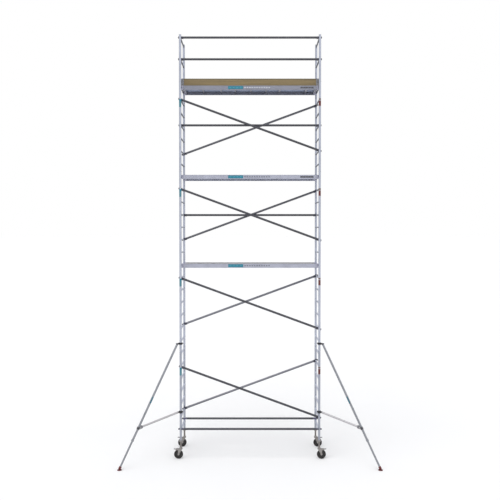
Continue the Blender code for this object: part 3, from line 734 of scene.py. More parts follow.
# ---- braces and rails ---------------------------------------------------------------------------
def claw_parts(piece, grip, at, cast):
    """Claw casting at one end of a tube: sleeve, hook, ribs, spring latch and rivets.

    The hook's centre is the origin, the tube comes from -X and the hook opens downwards."""
    start, outer = -grip - 0.004, grip + CLAW_WALL
    neck, skin = BRACE_R - WALL - GAP, BRACE_R + 0.0002
    sleeve = lathe([(neck - 0.003, -SOCKET_LENGTH), (neck, -SOCKET_LENGTH + 0.003), (neck, -0.064),
                    (BRACE_R - 0.001, -0.0635), (skin, -0.062), (skin, start - 0.014),
                    (0.0232, start - 0.004), (0.0205, start)], 24)
    piece.add(sleeve, cast, at @ LAY_X)
    mouth = 180 + CLAW_REACH
    hook = arc(grip, mouth, -CLAW_REACH, 16) + arc(outer, -CLAW_REACH, mouth, 16)
    piece.add(prism(hook, CLAW_DEPTH, 0.0022), cast, at)
    rib = [(-0.062, 0.022), (-0.056, 0.0246), (start + 0.002, 0.0262), (-0.004, outer - 0.001),
           (-0.004, outer - 0.006), (start - 0.004, 0.006), (-0.06, 0.006)]
    piece.add(prism(rib, 0.007, 0.0015), cast, at)
    latch = [(start - 0.048, -0.031), (start - 0.04, -0.0235), (start - 0.004, -0.02),
             (start + 0.008, -grip - 0.001), (-0.004, -grip - 0.005), (-0.001, -grip - 0.0085),
             (start + 0.004, -grip - 0.0105), (start - 0.03, -0.03), (start - 0.044, -0.0345)]
    piece.add(prism(latch, 0.012, 0.0012), LATCH_METAL, at)
    piece.add(rod(0.0028, -0.012, 0.012, 10), ZINC, at @ shift(start - 0.01, 0, -0.0235) @ LAY_Y)
    half = [(outer - 0.002, 0.0215), (outer + 0.013, 0.0215), (outer + 0.0185, 0.016)]
    piece.add(prism([(x, -z) for x, z in half] + half[::-1], 0.024, 0.002), LATCH_METAL, at)
    button = lathe([(0.0085, outer - 0.003), (0.0085, outer + 0.0195), (0.0078, outer + 0.0205),
                    (0.006, outer + 0.021)], 14)
    piece.add(button, LATCH_METAL, at @ LAY_X)
    rivets = [at @ shift(x=-0.085) @ spin(turn, "X") @ shift(z=BRACE_R - 0.0001) for turn in (90, -90)]
    piece.add(dome(0.0045, 0.0022), ZINC, *rivets)


def brace_mesh(name, length, metal, grip=RUNG_GRIP, cast=CLAW_METAL):
    """Tube along X with a claw at each end, the claws' centres `length` apart."""
    half = length / 2
    piece = Piece()
    piece.add(pipe(BRACE_R, BRACE_R - WALL, -half + 0.0645, half - 0.0645, 24), metal, LAY_X)
    for at in (shift(x=half), spin(180) @ shift(x=half)):
        claw_parts(piece, grip, at, cast)
    return piece.mesh(name)


def build_braces():
    low_rung, high_rung = 1, 5       # of each level, where its diagonals hook on
    rise = (high_rung - low_rung) * PITCH
    tilt = math.degrees(math.atan2(rise, BAY))
    slope = math.hypot(rise, BAY)
    diagonal = brace_mesh("diagonal", slope, BRACE_METAL)
    far_diagonals = [brace_mesh("far_low_diagonal", slope, LIT_LOW_DIAGONAL_METAL),
                     brace_mesh("far_high_diagonal", slope, LIT_HIGH_DIAGONAL_METAL)]
    rail = brace_mesh("rail", BAY, BRACE_METAL)
    far_rail = brace_mesh("far_rail", BAY, LIT_FAR_BRACE_METAL)
    base_rail = brace_mesh("base_rail", BAY, LIT_FAR_BRACE_METAL, POST_GRIP, BASE_CLAW_METAL)
    near, far = NEAR_Y + CLAW_INSET, FAR_Y - CLAW_INSET

    def hook_on(name, mesh, y, z, turn=IDENTITY):
        place(f"{name}_detailed", mesh, "tower", shift(y=y, z=z) @ turn, [name])

    for level in range(LEVELS):
        middle = rung_height(level * RUNGS + (low_rung + high_rung) / 2)
        hook_on(f"diagonal_{level + 1}_near", diagonal, near, middle, spin(tilt, "Y"))
        # the far diagonals of the two lower levels take the lightest copy: painted light
        hook_on(f"diagonal_{level + 1}_far", far_diagonals[level // 2], far, middle, spin(-tilt, "Y"))
    hook_on("base_rail_near", base_rail, NEAR_Y, BASE_RAIL_Z, spin(-90, "X"))
    hook_on("base_rail_far", base_rail, FAR_Y, BASE_RAIL_Z, spin(90, "X"))
    hook_on("level_3_rail_far", far_rail, FAR_Y - CLAW_SECOND_INSET, rung_height(LEVEL_RAIL_RUNGS[0]))
    hook_on("level_4_rail_near", rail, NEAR_Y + CLAW_SECOND_INSET, rung_height(LEVEL_RAIL_RUNGS[1]))
    for name, height in zip(("knee_rail", "guard_rail"), GUARD_RUNGS):
        hook_on(name, rail, near, TOP_LEVEL + height)


# ---- adjustable legs and castors ----------------------------------------------------------------
def leg_mesh():
    """Tube with a rolled screw thread; origin at its lower end."""
    sides, steps = 20, 4
    plain_low, plain_high = 0.022, 0.03
    rows = round((LEG_LENGTH - plain_low - plain_high) / THREAD_PITCH) * steps
    bm = bmesh.new()

    def ring(height, radius_at):
        turns = [(radius_at(i), 2 * math.pi * i / sides) for i in range(sides)]
        return [bm.verts.new((r * math.cos(a), r * math.sin(a), height)) for r, a in turns]

    def thread(row):
        return lambda i: LEG_R - THREAD_DEPTH * abs(2 * ((row / steps - i / sides) % 1.0) - 1)

    root, bore = (lambda i: LEG_R - THREAD_DEPTH), (lambda i: LEG_BORE_R)
    rings = [ring(0.0, root), ring(plain_low - 0.001, root)]
    rings += [ring(plain_low + row * THREAD_PITCH / steps, thread(row)) for row in range(rows + 1)]
    rings += [ring(LEG_LENGTH, root), ring(LEG_LENGTH, bore), ring(0.0, bore)]
    for lower, upper in zip(rings, rings[1:] + rings[:1]):
        for i in range(sides):
            j = (i + 1) % sides
            bm.faces.new((lower[i], lower[j], upper[j], upper[i]))
    piece = Piece()
    piece.add(closed_up(bm), THREAD_ZINC)
    piece.add(pipe(0.03, LEG_BORE_R + 0.0005, 0.0, 0.006, 28, 0.001), ZINC)
    piece.add(pipe(0.0235, LEG_BORE_R + 0.0005, 0.005, 0.02, 28, 0.002), ZINC)
    return piece.mesh("leg")


def leg_nut_mesh():
    """Wing nut under the post; origin at the post's foot, on its axis."""
    low, high, neck, bore = -NUT_HEIGHT, -GAP, NUT_R - 0.004, LEG_R + 0.0004
    body = lathe([(NUT_R - 0.002, low), (NUT_R, low + 0.002), (NUT_R, low + 0.011), (neck, low + 0.014),
                  (neck, high - 0.01), (NUT_R, high - 0.007), (NUT_R, high - 0.002), (NUT_R - 0.002, high),
                  (bore + 0.0008, high), (bore, high - 0.001), (bore, low + 0.001), (bore + 0.0008, low)],
                 32, loop=True)
    lug = arc(0.0085, -90, 90, 8, (0.0435, 0.0)) + mm((26, 10), (26, -10))
    piece = Piece()
    piece.add(body, ZINC)
    piece.add(prism(lug, 0.013, 0.002), ZINC, *(shift(z=(low + high) / 2) @ spin(turn) for turn in (0, 180)))
    return piece.mesh("leg_nut")


def fork_mesh():
    """Swivel fork, its bearing and its bolts; origin on the swivel axis at floor level."""
    boss = arc(0.0215, 200, 340, 12, (TRAIL, AXLE_Z))
    cheek = boss + mm((61, 150), (65, 190), (108.5, 195.5), (112, 199), (112, 211), (108, 216), (85, 218),
                      (-18, 218), (-24, 215), (-24, 208), (21, 130))
    rib = mm((43, 127), (52, 127), (56, 190), (27, 190))
    piece = Piece()
    middle, skin = (CHEEK_IN + CHEEK_OUT) / 2, CHEEK_OUT - CHEEK_IN
    for outline, thick, ease, segments, y in ((cheek, skin, 0.0012, 2, middle),
                                              (rib, 0.0016, 0.0007, 1, CHEEK_OUT + 0.0004)):
        piece.add(prism(outline, thick, ease, segments), ZINC, shift(y=y), shift(y=-y))
    piece.add(block((-0.034, -CHEEK_OUT, CROWN_BOTTOM), (0.108, CHEEK_OUT, 0.2145), 0.0016), ZINC)
    top = LEG_BOTTOM - GAP
    race = mm((30, 214), (33.5, 215.5), (33.5, 220.5), (30, 222.5), (28.5, 223), (28.5, 224.5), (31, 225),
              (33, 226.5))
    piece.add(lathe(race + [(0.033, top - 0.003), (0.03, top)], 32), ZINC)
    piece.add(rod(0.0155, CROWN_BOTTOM - 0.004, LEG_BOTTOM + 0.13, 20, 0.002), ZINC)
    piece.add(hexagon(0.0125, CROWN_BOTTOM - 0.009, CROWN_BOTTOM + 0.001), ZINC)
    axle = shift(TRAIL, 0, AXLE_Z) @ LAY_Y
    piece.add(rod(0.0069, -0.04, 0.045, 14, 0.0012), ZINC, axle)
    for low in (-0.041, 0.033):
        piece.add(hexagon(0.0125, low, low + 0.0085), ZINC, axle)
    piece.add(rod(0.0145, CHEEK_OUT - 0.0002, 0.0335, 20, 0.0004), ZINC, axle, axle @ OVER)
    pin = shift(PEDAL_X, 0, PEDAL_Z) @ LAY_Y
    piece.add(rod(0.0039, -0.034, 0.034, 12), ZINC, pin)
    piece.add(dome(0.0065, 0.003), ZINC, *(pin @ turn @ shift(z=CHEEK_OUT) for turn in (IDENTITY, OVER)))
    return piece.mesh("castor_fork")


def wheel_mesh():
    """Rubber tyre on a ribbed core with its hub and bearing covers; origin on the axle."""
    radius, spokes = AXLE_Z, 8
    tyre = mm((69, 15), (72, 18.5), (80, 20), (89, 19.8), (94.5, 17.5)) + [
        (radius - 0.0009, 0.011), (radius, 0.005), (radius, 0.0016), (radius - 0.0012, 0.0008)]
    core = mm((70, 16), (70, 18), (66.5, 19), (62, 16.5), (60, 5), (30, 4.5), (27, 18), (24, 23), (15, 23),
              (15, 20), (9.5, 20))
    cover = mm((15, 19.5), (15, 24), (14, 25), (8.2, 25), (7.8, 24.4), (7.8, 19.5))
    piece = Piece()
    piece.add(lathe(ring_profile(tyre), 48, loop=True), TYRE, LAY_Y)
    piece.add(lathe(ring_profile(core), 36, loop=True), WHEEL_CORE, LAY_Y)
    piece.add(lathe(cover, 24, loop=True), ZINC, LAY_Y, LAY_Y @ OVER)
    piece.add(block((0.0255, -0.012, -0.0026), (0.0635, 0.012, 0.0026), 0.001, 1), WHEEL_CORE,
              *(spin(360 * k / spokes, "Y") for k in range(spokes)))
    return piece.mesh("castor_wheel")


def pedal_mesh():
    """Brake pedal; origin on its pin, tread to +X, heel down beside the tyre."""
    tread = mm((-2, -4), (20, 0), (53, 7.5), (56, 10), (55.5, 14), (52, 15), (10, 7.5), (-2, 5.5))
    heel = mm((-5, -4), (-2.8, -13.8), (-1, -14.5), (3.2, -14.5), (4.5, -13.5), (5, -4))
    ridge = mm((-1.6, -2), (1.6, -2), (1.2, 1.6), (-1.2, 1.6))
    slope, pitch = 0.0075 / 0.042, 0.0085
    ridges = [shift(0.016 + pitch * k, 0, 0.0088 + slope * pitch * k) for k in range(5)]
    piece = Piece()
    piece.add(pipe(0.009, 0.0047, -CHEEK_IN + 0.001, CHEEK_IN - 0.001, 20), PEDAL_PAINT, LAY_Y)
    piece.add(prism(tread, 0.044, 0.0016), PEDAL_PAINT)
    piece.add(prism(ridge, 0.038, 0.0005, 1), PEDAL_PAINT, *ridges)
    piece.add(prism(heel, 0.036, 0.0008, 1), PEDAL_PAINT)
    return piece.mesh("brake_pedal")


def build_castors():
    leg, nut, fork, wheel, pedal = leg_mesh(), leg_nut_mesh(), fork_mesh(), wheel_mesh(), pedal_mesh()
    for side, end_word in SIDES:
        turn = IDENTITY if side > 0 else spin(180)
        for y, side_word in ((NEAR_Y, "near"), (FAR_Y, "far")):
            word, post = f"{side_word}_{end_word}", shift(side * POST_X, y)
            place(f"threaded_leg_{word}", leg, f"leg_{word}", post @ shift(z=LEG_BOTTOM),
                  [f"adjustable_leg_{word}"])
            place(f"leg_nut_{word}", nut, "tower", post @ shift(z=FRAME_BOTTOM))
            place(f"fork_{word}", fork, f"castor_{word}", post @ turn, [f"castor_fork_{word}"])
            place(f"wheel_{word}", wheel, f"wheel_{word}", post @ shift(side * TRAIL, 0, AXLE_Z),
                  [f"castor_wheel_{word}"])
            place(f"pedal_{word}", pedal, f"pedal_{word}",
                  post @ turn @ shift(PEDAL_X, 0, PEDAL_Z), [f"brake_pedal_{word}"])


# ---- platforms ----------------------------------------------------------------------------------
def beam_section():
    """Extruded side beam as (inwards, height) points: toe, web, deck ledge, top lip and grooves."""
    foot, seat, top = -BEAM_DROP, DECK_SEAT - 0.0002, BEAM_RISE
    toe = [(0.0008, 0.0), (BEAM_FLANGE, 0.0), (BEAM_FLANGE, 0.008)] + mm((27.5, 8), (27.5, 3.2), (3.4, 3.2))
    ledge = mm((3.4, -2.6), (12, -2.6), (12, 0), (3.6, 0))
    lip = mm((3.6, -2.4), (6.6, -2.2), (6.6, -1), (5.6, 0), (1, 0), (0, -1))
    upper_groove = mm((0, -9), (1.2, -10), (0, -11))
    lower_groove = mm((0, 12.5), (1.2, 11.5), (0, 10.5), (0, 1))
    stretches = ((foot, toe), (seat, ledge), (top, lip), (top, upper_groove), (foot, lower_groove))
    return [(x, base + z) for base, outline in stretches for x, z in outline]


def platform_claw_outline():
    """Casting that drops over a rung at the origin, with the platform to -X."""
    outer = RUNG_GRIP + CLAW_WALL
    return [(-CAST_LENGTH, -BEAM_DROP), (-RUNG_GRIP - 0.004, -BEAM_DROP), (-RUNG_GRIP, -BEAM_DROP + 0.004),
            *arc(RUNG_GRIP, 180, 0, 12), (RUNG_GRIP, -CLAW_LIP), (RUNG_GRIP + 0.003, -CLAW_LIP - 0.003),
            (outer - 0.003, -CLAW_LIP - 0.003), (outer, -CLAW_LIP), *arc(outer, 0, 62, 6),
            (-0.008, BEAM_RISE - 0.003), (-0.025, BEAM_RISE), (-CAST_LENGTH, BEAM_RISE)]


def platform_frame_mesh(metal):
    """Side beams, cross members, end members, claws and rivets; origin at mid-length."""
    piece = Piece()
    piece.add(prism(beam_section(), 2 * BEAM_HALF_LENGTH), metal,
              shift(y=-DECK_HALF) @ spin(90), shift(y=DECK_HALF) @ spin(-90))
    inner, top = DECK_HALF - 0.0035, DECK_SEAT - 0.0002

    def across(low, high, bottom):
        piece.add(block((low, -inner, bottom), (high, inner, top), 0.003), metal)

    spans = [(x - MEMBER_HALF, x + MEMBER_HALF) for x in MEMBERS]
    spans += [(HATCH_X[0] - 0.027, HATCH_X[0] + 0.013), (HATCH_X[1] - 0.013, HATCH_X[1] + 0.027)]
    for low, high in spans:
        across(low, high, DECK_SEAT - MEMBER_HEIGHT)
        screws = [shift((low + high) / 2, side * (DECK_HALF - 0.0002), z) @ spin(-90 * side, "X")
                  for side in (-1, 1) for z in (DECK_SEAT - 0.021, DECK_SEAT - 0.008)]
        piece.add(dome(0.0035, 0.0013), ZINC, *screws)
    near, far = BEAM_HALF_LENGTH - 0.036, BEAM_HALF_LENGTH - 0.001
    for low, high in ((-far, -near), (near, far)):
        across(low, high, -BEAM_DROP / 2)
    lock = mm((-40, -33), (-19, -34.5), (3, -27), (6, -22), (2, -20), (-18, -27.5), (-40, -29))
    for end in (0, 180):
        for side in (-1, 1):
            spot = spin(end) @ shift(BAY / 2, side * (DECK_HALF - BEAM_FLANGE / 2), 0)
            piece.add(prism(platform_claw_outline(), CAST_DEPTH, 0.0022), HOOK_METAL, spot)
            piece.add(prism(lock, 0.006, 0.001, 1), LATCH_METAL, spot @ shift(y=-side * 0.019))
            rivets = [spot @ shift(x, side * 0.0145, z) @ spin(-90 * side, "X")
                      for x in (-0.062, -0.044) for z in (-0.036, 0.014)]
            piece.add(dome(0.0045, 0.0022), ZINC, *rivets)
    return piece.mesh("platform_frame")


def framed_plate(xs, ys, low, high):
    """Flat plate over three by three cells, with the middle one left open."""
    bm = bmesh.new()
    grid = {(i, j): bm.verts.new((x, y, high)) for i, x in enumerate(xs) for j, y in enumerate(ys)}
    faces = [bm.faces.new((grid[i, j], grid[i + 1, j], grid[i + 1, j + 1], grid[i, j + 1]))
             for i in range(3) for j in range(3) if (i, j) != (1, 1)]
    lowered = bmesh.ops.extrude_face_region(bm, geom=faces)["geom"]
    corners = [v for v in lowered if isinstance(v, bmesh.types.BMVert)]
    bmesh.ops.translate(bm, vec=(0, 0, low - high), verts=corners)
    return eased(closed_up(bm), 0.0006, 1)


HINGE_AXIS = shift(0, HATCH_HALF_WIDTH - HATCH_CLEAR / 2, DECK_TOP + HINGE_RISE)
HINGE_X = [HATCH_X[0] + (HATCH_X[1] - HATCH_X[0]) * part for part in (0.25, 0.75)]


def hinge_parts(piece, x0, x1, side):
    """Hinge barrel on the pin's axis, with its leaf and screws on one side."""
    piece.add(rod(KNUCKLE_R, x0, x1, 16, 0.0006), ZINC, HINGE_AXIS @ LAY_X)
    near, far = sorted((side * 0.002, side * HINGE_LEAF))
    leaf = block((x0, near, -HINGE_RISE - 0.0004), (x1, far, -HINGE_RISE + 0.002), 0.0006, 1)
    piece.add(leaf, ZINC, HINGE_AXIS)
    for y in (side * 0.013, side * 0.027):
        piece.add(dome(0.0034, 0.0012), ZINC, HINGE_AXIS @ shift((x0 + x1) / 2, y, -HINGE_RISE + 0.002))


def ply_finish(piece):
    """Film on top, slate face below and bare veneers at the edges of a board."""
    low, high = DECK_SEAT - 0.001, DECK_TOP + 0.0002

    def on_board(face):
        return piece.finishes[face.material_index] == DECK_FILM

    piece.paint(DECK_UNDERSIDE, lambda f: on_board(f) and f.normal.z < -0.5)
    piece.paint(PLY_EDGE, lambda f: on_board(f) and abs(f.normal.z) < 0.5
                and low < f.calc_center_median().z < high)


def deck_mesh():
    half_length, half_width = BAY / 2 - CAST_LENGTH - GAP, DECK_HALF - 0.004 - GAP
    xs = (-half_length, *HATCH_X, half_length)
    ys = (-half_width, -HATCH_HALF_WIDTH, HATCH_HALF_WIDTH, half_width)
    piece = Piece()
    piece.add(framed_plate(xs, ys, DECK_SEAT + GAP, DECK_TOP), DECK_FILM)
    ply_finish(piece)
    rivets = [shift(x, y, DECK_TOP) for x in MEMBERS for y in (-0.24, -0.08, 0.08, 0.24)]
    piece.add(dome(0.005, 0.001), ZINC, *rivets)
    reach = 1.5 * KNUCKLE
    for x in HINGE_X:
        hinge_parts(piece, x - reach, x - KNUCKLE / 2 - GAP, 1)
        hinge_parts(piece, x + KNUCKLE / 2 + GAP, x + reach, 1)
        piece.add(rod(0.0019, x - reach + 0.001, x + reach - 0.001, 10), ZINC, HINGE_AXIS @ LAY_X)
    return piece.mesh("deck")


def hatch_mesh():
    """Hatch with its hinge leaves, finger ring and latch; origin at the platform's, as it lies shut."""
    half_width = HATCH_HALF_WIDTH - HATCH_CLEAR
    piece = Piece()
    piece.add(block((HATCH_X[0] + HATCH_CLEAR, -half_width, DECK_SEAT + GAP),
                    (HATCH_X[1] - HATCH_CLEAR, half_width, DECK_TOP), 0.0007, 1), DECK_FILM)
    ply_finish(piece)
    for x in HINGE_X:
        hinge_parts(piece, x - KNUCKLE / 2, x + KNUCKLE / 2, -1)
    middle = sum(HATCH_X) / 2
    grip = shift(middle, 0.04 - half_width, DECK_TOP)
    rim = mm((30, -0.4), (30, 1.2), (28.5, 2), (22.5, 2), (21.5, 0.6), (21.5, -0.4))
    piece.add(lathe(rim, 32, loop=True), ZINC, grip)
    piece.add(lathe(mm((21.6, -0.4), (21.6, 0.4), (0, 0.4)), 32), CLAMP_METAL, grip)
    ring = [(x, y, 0.0022) for x, y in arc(0.0165, 0, 345, 22)]
    piece.add(sweep(ring, round_section(0.0015, 6), (0, 0, 1), closed=True), ZINC, grip)
    bolt = shift(middle + 0.09, 0.004 - half_width, DECK_TOP + 0.0045)
    piece.add(rod(0.0038, 0.0, 0.055, 12), ZINC, bolt @ LAY_Y)
    piece.add(block((-0.011, 0.01, -0.0048), (0.011, 0.05, 0.0012), 0.0015), ZINC, bolt)
    return piece.mesh("hatch")


def build_platforms():
    deck, hatch = deck_mesh(), hatch_mesh()
    frames = (platform_frame_mesh(BEAM_METAL),) * 2 + (platform_frame_mesh(SHADED_BEAM_METAL),)
    for number, (rung, side, beams) in enumerate(zip(PLATFORM_RUNGS, HATCH_SIDE, frames), start=1):
        where = shift(0, MID_Y, rung_height(rung)) @ (IDENTITY if side > 0 else spin(180))
        place(f"platform_beams_{number}", beams, "tower", where, [f"platform_frame_{number}"])
        place(f"deck_board_{number}", deck, "tower", where, [f"deck_{number}"])
        place(f"hatch_board_{number}", hatch, f"hatch_panel_{number}", where, [f"hatch_{number}"])


# ---- toe boards ---------------------------------------------------------------------------------
def build_toe_boards():
    """Planks with eased edges, and pressed steel clips and pegs at their corners."""
    sheet, clip_reach, edge_band = 0.0018, 0.062, 0.02
    boards = {word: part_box(f"toe_board_{word}") for word in ("near", "left", "right")}
    for word, (low, high) in boards.items():
        half, turn = (high - low) / 2, IDENTITY
        if word != "near":       # an end board lies along Y
            half, turn = Vector((half.y, half.x, half.z)), spin(90)
        piece = Piece()
        seam = half.z - edge_band
        piece.add(block(-half, (half.x, half.y, seam), 0.0025), TOE_WOOD)
        piece.add(block((-half.x, -half.y, seam), half, 0.0025), TOE_EDGE)
        place(f"toe_plank_{word}", piece.mesh(f"toe_plank_{word}"), "tower",
              Matrix.Translation((low + high) / 2) @ turn, [f"toe_board_{word}"])
    low, high = boards["near"]
    end_x, thick, tall = abs(high.x), high.y - low.y, high.z - low.z
    reach, far_edge = end_x - clip_reach, boards["left"][1].y
    for side, word in SIDES:
        piece = Piece()
        front = ((reach, -sheet, 0.004), (end_x + sheet, 0.0002, tall - 0.01))
        end = ((end_x - 0.0002, -sheet, 0.004), (end_x + sheet, clip_reach, tall - 0.01))
        cap = ((reach, -sheet, tall - 0.012), (end_x - thick, thick + sheet, tall + sheet))
        for corners in (front, end, cap):
            piece.add(block(*corners, 0.0007, 1), BRACKET_METAL)
        rivets = [shift(x, -sheet, z) @ spin(90, "X")
                  for z in (0.035, tall - 0.045) for x in (reach + 0.014, reach + 0.04)]
        piece.add(dome(0.0045, 0.002), ZINC, *rivets)
        clip = piece.mesh(f"toe_clip_{word}")
        clip.transform(Matrix.Scale(side, 4, (1, 0, 0)))
        if side < 0:             # mirrored, so its faces point inwards until turned
            clip.flip_normals()
        place(f"toe_clip_{word}", clip, "tower", shift(0, low.y, low.z))
        peg = Piece()
        peg.add(block((-0.014, -sheet, -0.03), (0.014, 0.0, 0.06), 0.0006, 1), BRACKET_METAL)
        peg.add(dome(0.0045, 0.002), ZINC, shift(0, 0, 0.04) @ spin(-90, "X"))
        place(f"toe_peg_{word}", peg.mesh(f"toe_peg_{word}"), "tower",
              shift(side * (end_x - thick / 2), far_edge + sheet, low.z))


# ---- stabilisers --------------------------------------------------------------------------------
LEG_HEAD = Vector((HEAD_REACH, 0, UPPER_CLAMP_Z))
LEG_FOOT = Vector((STAB_REACH, 0, FOOT_AXIS_Z))
UP_THE_LEG = (LEG_HEAD - LEG_FOOT).normalized()
HEAD_S = (LEG_HEAD - LEG_FOOT).length
ON_LEG = bench_matrix(LEG_FOOT, LEG_HEAD)        # +Z runs up the leg from its foot


def clamp_parts(piece, height):
    """Hinged half rings round a post with an eye bolt and wing nut; the arm goes to +X."""
    at = shift(z=height)
    ring = arc(CLAMP_R, 8, 352, 28) + arc(CLAMP_BORE_R, 352, 8, 28)
    piece.add(prism(ring, 2 * CLAMP_HALF, 0.0016), CLAMP_METAL, at @ spin(90, "X") @ spin(180, "Z"))
    for z in (-0.014, 0.014):
        band = pipe(CLAMP_R + 0.0016, CLAMP_R - 0.001, z - 0.004, z + 0.004, 28, 0.001)
        piece.add(band, CLAMP_METAL, at)
    for y in (-0.004, 0.004):
        jaw = block((-CLAMP_R - 0.014, y - 0.003, -0.014), (-CLAMP_R + 0.006, y + 0.003, 0.014), 0.0012, 1)
        piece.add(jaw, CLAMP_METAL, at)
    bolt = at @ shift(x=-CLAMP_R - 0.007) @ LAY_Y
    piece.bolt(0.0038, (-0.024, 0.03), 0.008, [(-0.02, -0.014)], bolt)
    piece.add(rod(0.0085, 0.014, 0.023, 14), ZINC, bolt)
    wing = arc(0.0075, -70, 90, 6, (0.015, 0.0)) + mm((3, 5.5), (3, -5.5))
    wings = [bolt @ shift(z=0.019) @ spin(turn) for turn in (20, 200)]
    piece.add(prism(wing, 0.0032, 0.0008, 1), ZINC, *wings)


def ear_parts(piece, height, tube_r, edge, centre):
    """Two ears on a clamp, as tall as their edge and round at the end, and the block they grow from."""
    at, tall = shift(z=height), edge[0][1]
    ear = prism(eye(edge, tall, centre), 0.004, 0.001, 1)
    piece.add(ear, CLAMP_METAL, *(at @ shift(y=y) for y in (-tube_r - 0.0025, tube_r + 0.0025)))
    half = tube_r + 0.0045
    piece.add(block((CLAMP_R - 0.006, -half, -tall), (CLAMP_R + 0.004, half, tall), 0.0012), CLAMP_METAL, at)


def upper_clamp_mesh():
    piece = Piece()
    clamp_parts(piece, UPPER_CLAMP_Z)
    edge = [(CLAMP_R - 0.005, 0.015), (HEAD_REACH, 0.015)]
    ear_parts(piece, UPPER_CLAMP_Z, STAB_R, edge, HEAD_REACH + 0.011)
    head = STAB_R + 0.0045
    piece.bolt(0.005, (-STAB_R - 0.01, STAB_R + 0.012), 0.0095,
               [(-head - 0.0065, -head), (head, head + 0.0075)], shift(HEAD_REACH, 0, UPPER_CLAMP_Z) @ LAY_Y)
    return piece.mesh("upper_clamp")


def lower_clamp_mesh():
    piece = Piece()
    clamp_parts(piece, LOWER_CLAMP_Z)
    piece.add(pipe(0.03, CLAMP_BORE_R, -0.031, 0.031, 28, 0.001), CLAMP_METAL, shift(z=LOWER_CLAMP_Z))
    ear_parts(piece, LOWER_CLAMP_Z, STRUT_R, [(CLAMP_R - 0.006, 0.013), (0.066, 0.013)], 0.066)
    head = STRUT_R + 0.0045
    piece.bolt(0.0045, (-STRUT_R - 0.009, STRUT_R + 0.01), 0.0085,
               [(-head - 0.0055, -head), (head, head + 0.0065)], shift(0.064, 0, LOWER_CLAMP_Z) @ LAY_Y)
    return piece.mesh("lower_clamp")


def outer_tube_mesh():
    """Stabiliser's outer tube, along +Z from the foot, with its collar, snap button and head plug."""
    piece = Piece()
    piece.add(pipe(STAB_R, STAB_BORE_R, SLEEVE_END, HEAD_S + 0.01), STAB_METAL)
    inside = STAB_BORE_R - GAP
    plug = lathe([(0, -0.01), (inside, -0.01), (inside, 0.0102), (STAB_R - 0.0006, 0.0102),
                  (STAB_R - 0.003, 0.0125), (0, 0.0125)], 24)
    piece.add(plug, PLUG, shift(z=HEAD_S))
    at, skin = shift(z=SLEEVE_END), STAB_R - 0.0004
    collar = mm((27, -0.5), (28.5, 1.5), (28.5, 12), (27.2, 14), (27.2, 31), (28.5, 33), (28.5, 43), (27, 45))
    piece.add(lathe([(skin, -0.0005), *collar, (skin, 0.045)], 28, loop=True), STAB_METAL, at)
    button = lathe(mm((5.5, 0), (5.5, 4), (3.5, 6), (0, 6.5)), 14)
    piece.add(button, ZINC, at @ shift(z=0.0225) @ spin(-90, "X") @ shift(z=0.0268))
    return piece.mesh("stabiliser_tube")


def strut_parts():
    """The strut along +Z from the lower clamp, its sleeve along the leg, and where the strut lies."""
    sleeve_s = STRUT_AT * HEAD_S
    start, end = Vector((0.06, 0, LOWER_CLAMP_Z)), LEG_FOOT + UP_THE_LEG * sleeve_s
    length, inside = (end - start).length, STRUT_R - WALL - GAP
    tube = Piece()
    tube.add(pipe(STRUT_R, STRUT_R - WALL, 0.006, length - 0.04, 24), STRUT_METAL)
    tube.add(lathe([(0, -0.006), (STRUT_R - 0.004, -0.006), (STRUT_R - WALL, 0.0), (STRUT_R, 0.0065),
                    (inside, 0.0065), (inside, 0.03), (0, 0.03)], 20), CLAMP_METAL)
    fork = eye([(length - 0.095, 0.01), (length - 0.03, 0.012)], 0.012, length - 0.004)
    cheeks = [shift(y=y) @ spin(-90, "Y") for y in (-0.03, 0.03)]
    tube.add(prism(fork, 0.0035, 0.001, 1), BRACKET_METAL, *cheeks)
    tube.add(lathe([(STRUT_R - 0.001, length - 0.105), (0.0225, length - 0.1), (0.0225, length - 0.06),
                    (0.015, length - 0.045), (0, length - 0.045)], 20), BRACKET_METAL)
    tube.add(block((-0.01, -0.0315, length - 0.095), (0.01, 0.0315, length - 0.07), 0.002), BRACKET_METAL)
    sleeve = Piece()
    half = [(STAB_R + GAP, 0.03)] + mm((29, 30), (30.5, 28), (30.5, 20), (28.5, 18))
    at = shift(z=sleeve_s)
    sleeve.add(lathe(ring_profile(half), 28, loop=True), BRACKET_METAL, at)
    sleeve.bolt(0.0045, (-0.036, 0.036), 0.0085, [(-0.037, -0.032), (0.032, 0.037)], at @ LAY_Y)
    return tube.mesh("strut"), sleeve.mesh("strut_sleeve"), bench_matrix(start, end)


def inner_tube_mesh():
    """Telescopic tube along +Z from the foot, with a row of dark discs on its skin where its snap holes are:
    painted shade.
    """
    piece = Piece()
    piece.add(pipe(INNER_R, INNER_BORE_R, GAP, INNER_END - GAP, 24), STAB_METAL)
    on_skin = spin(-90, "X") @ shift(z=INNER_R - 0.0001)
    # each snap hole is a dark disc on the skin, not a cut: painted shade for the hole's inside
    piece.add(lathe(mm((4.8, -0.5), (4.8, 0.25), (0, 0.25)), 14), DARK_PRINT_AND_HOLE_SHADE,
              *(shift(z=0.11 + 0.07 * k) @ on_skin for k in range(6)))
    return piece.mesh("telescopic_tube")


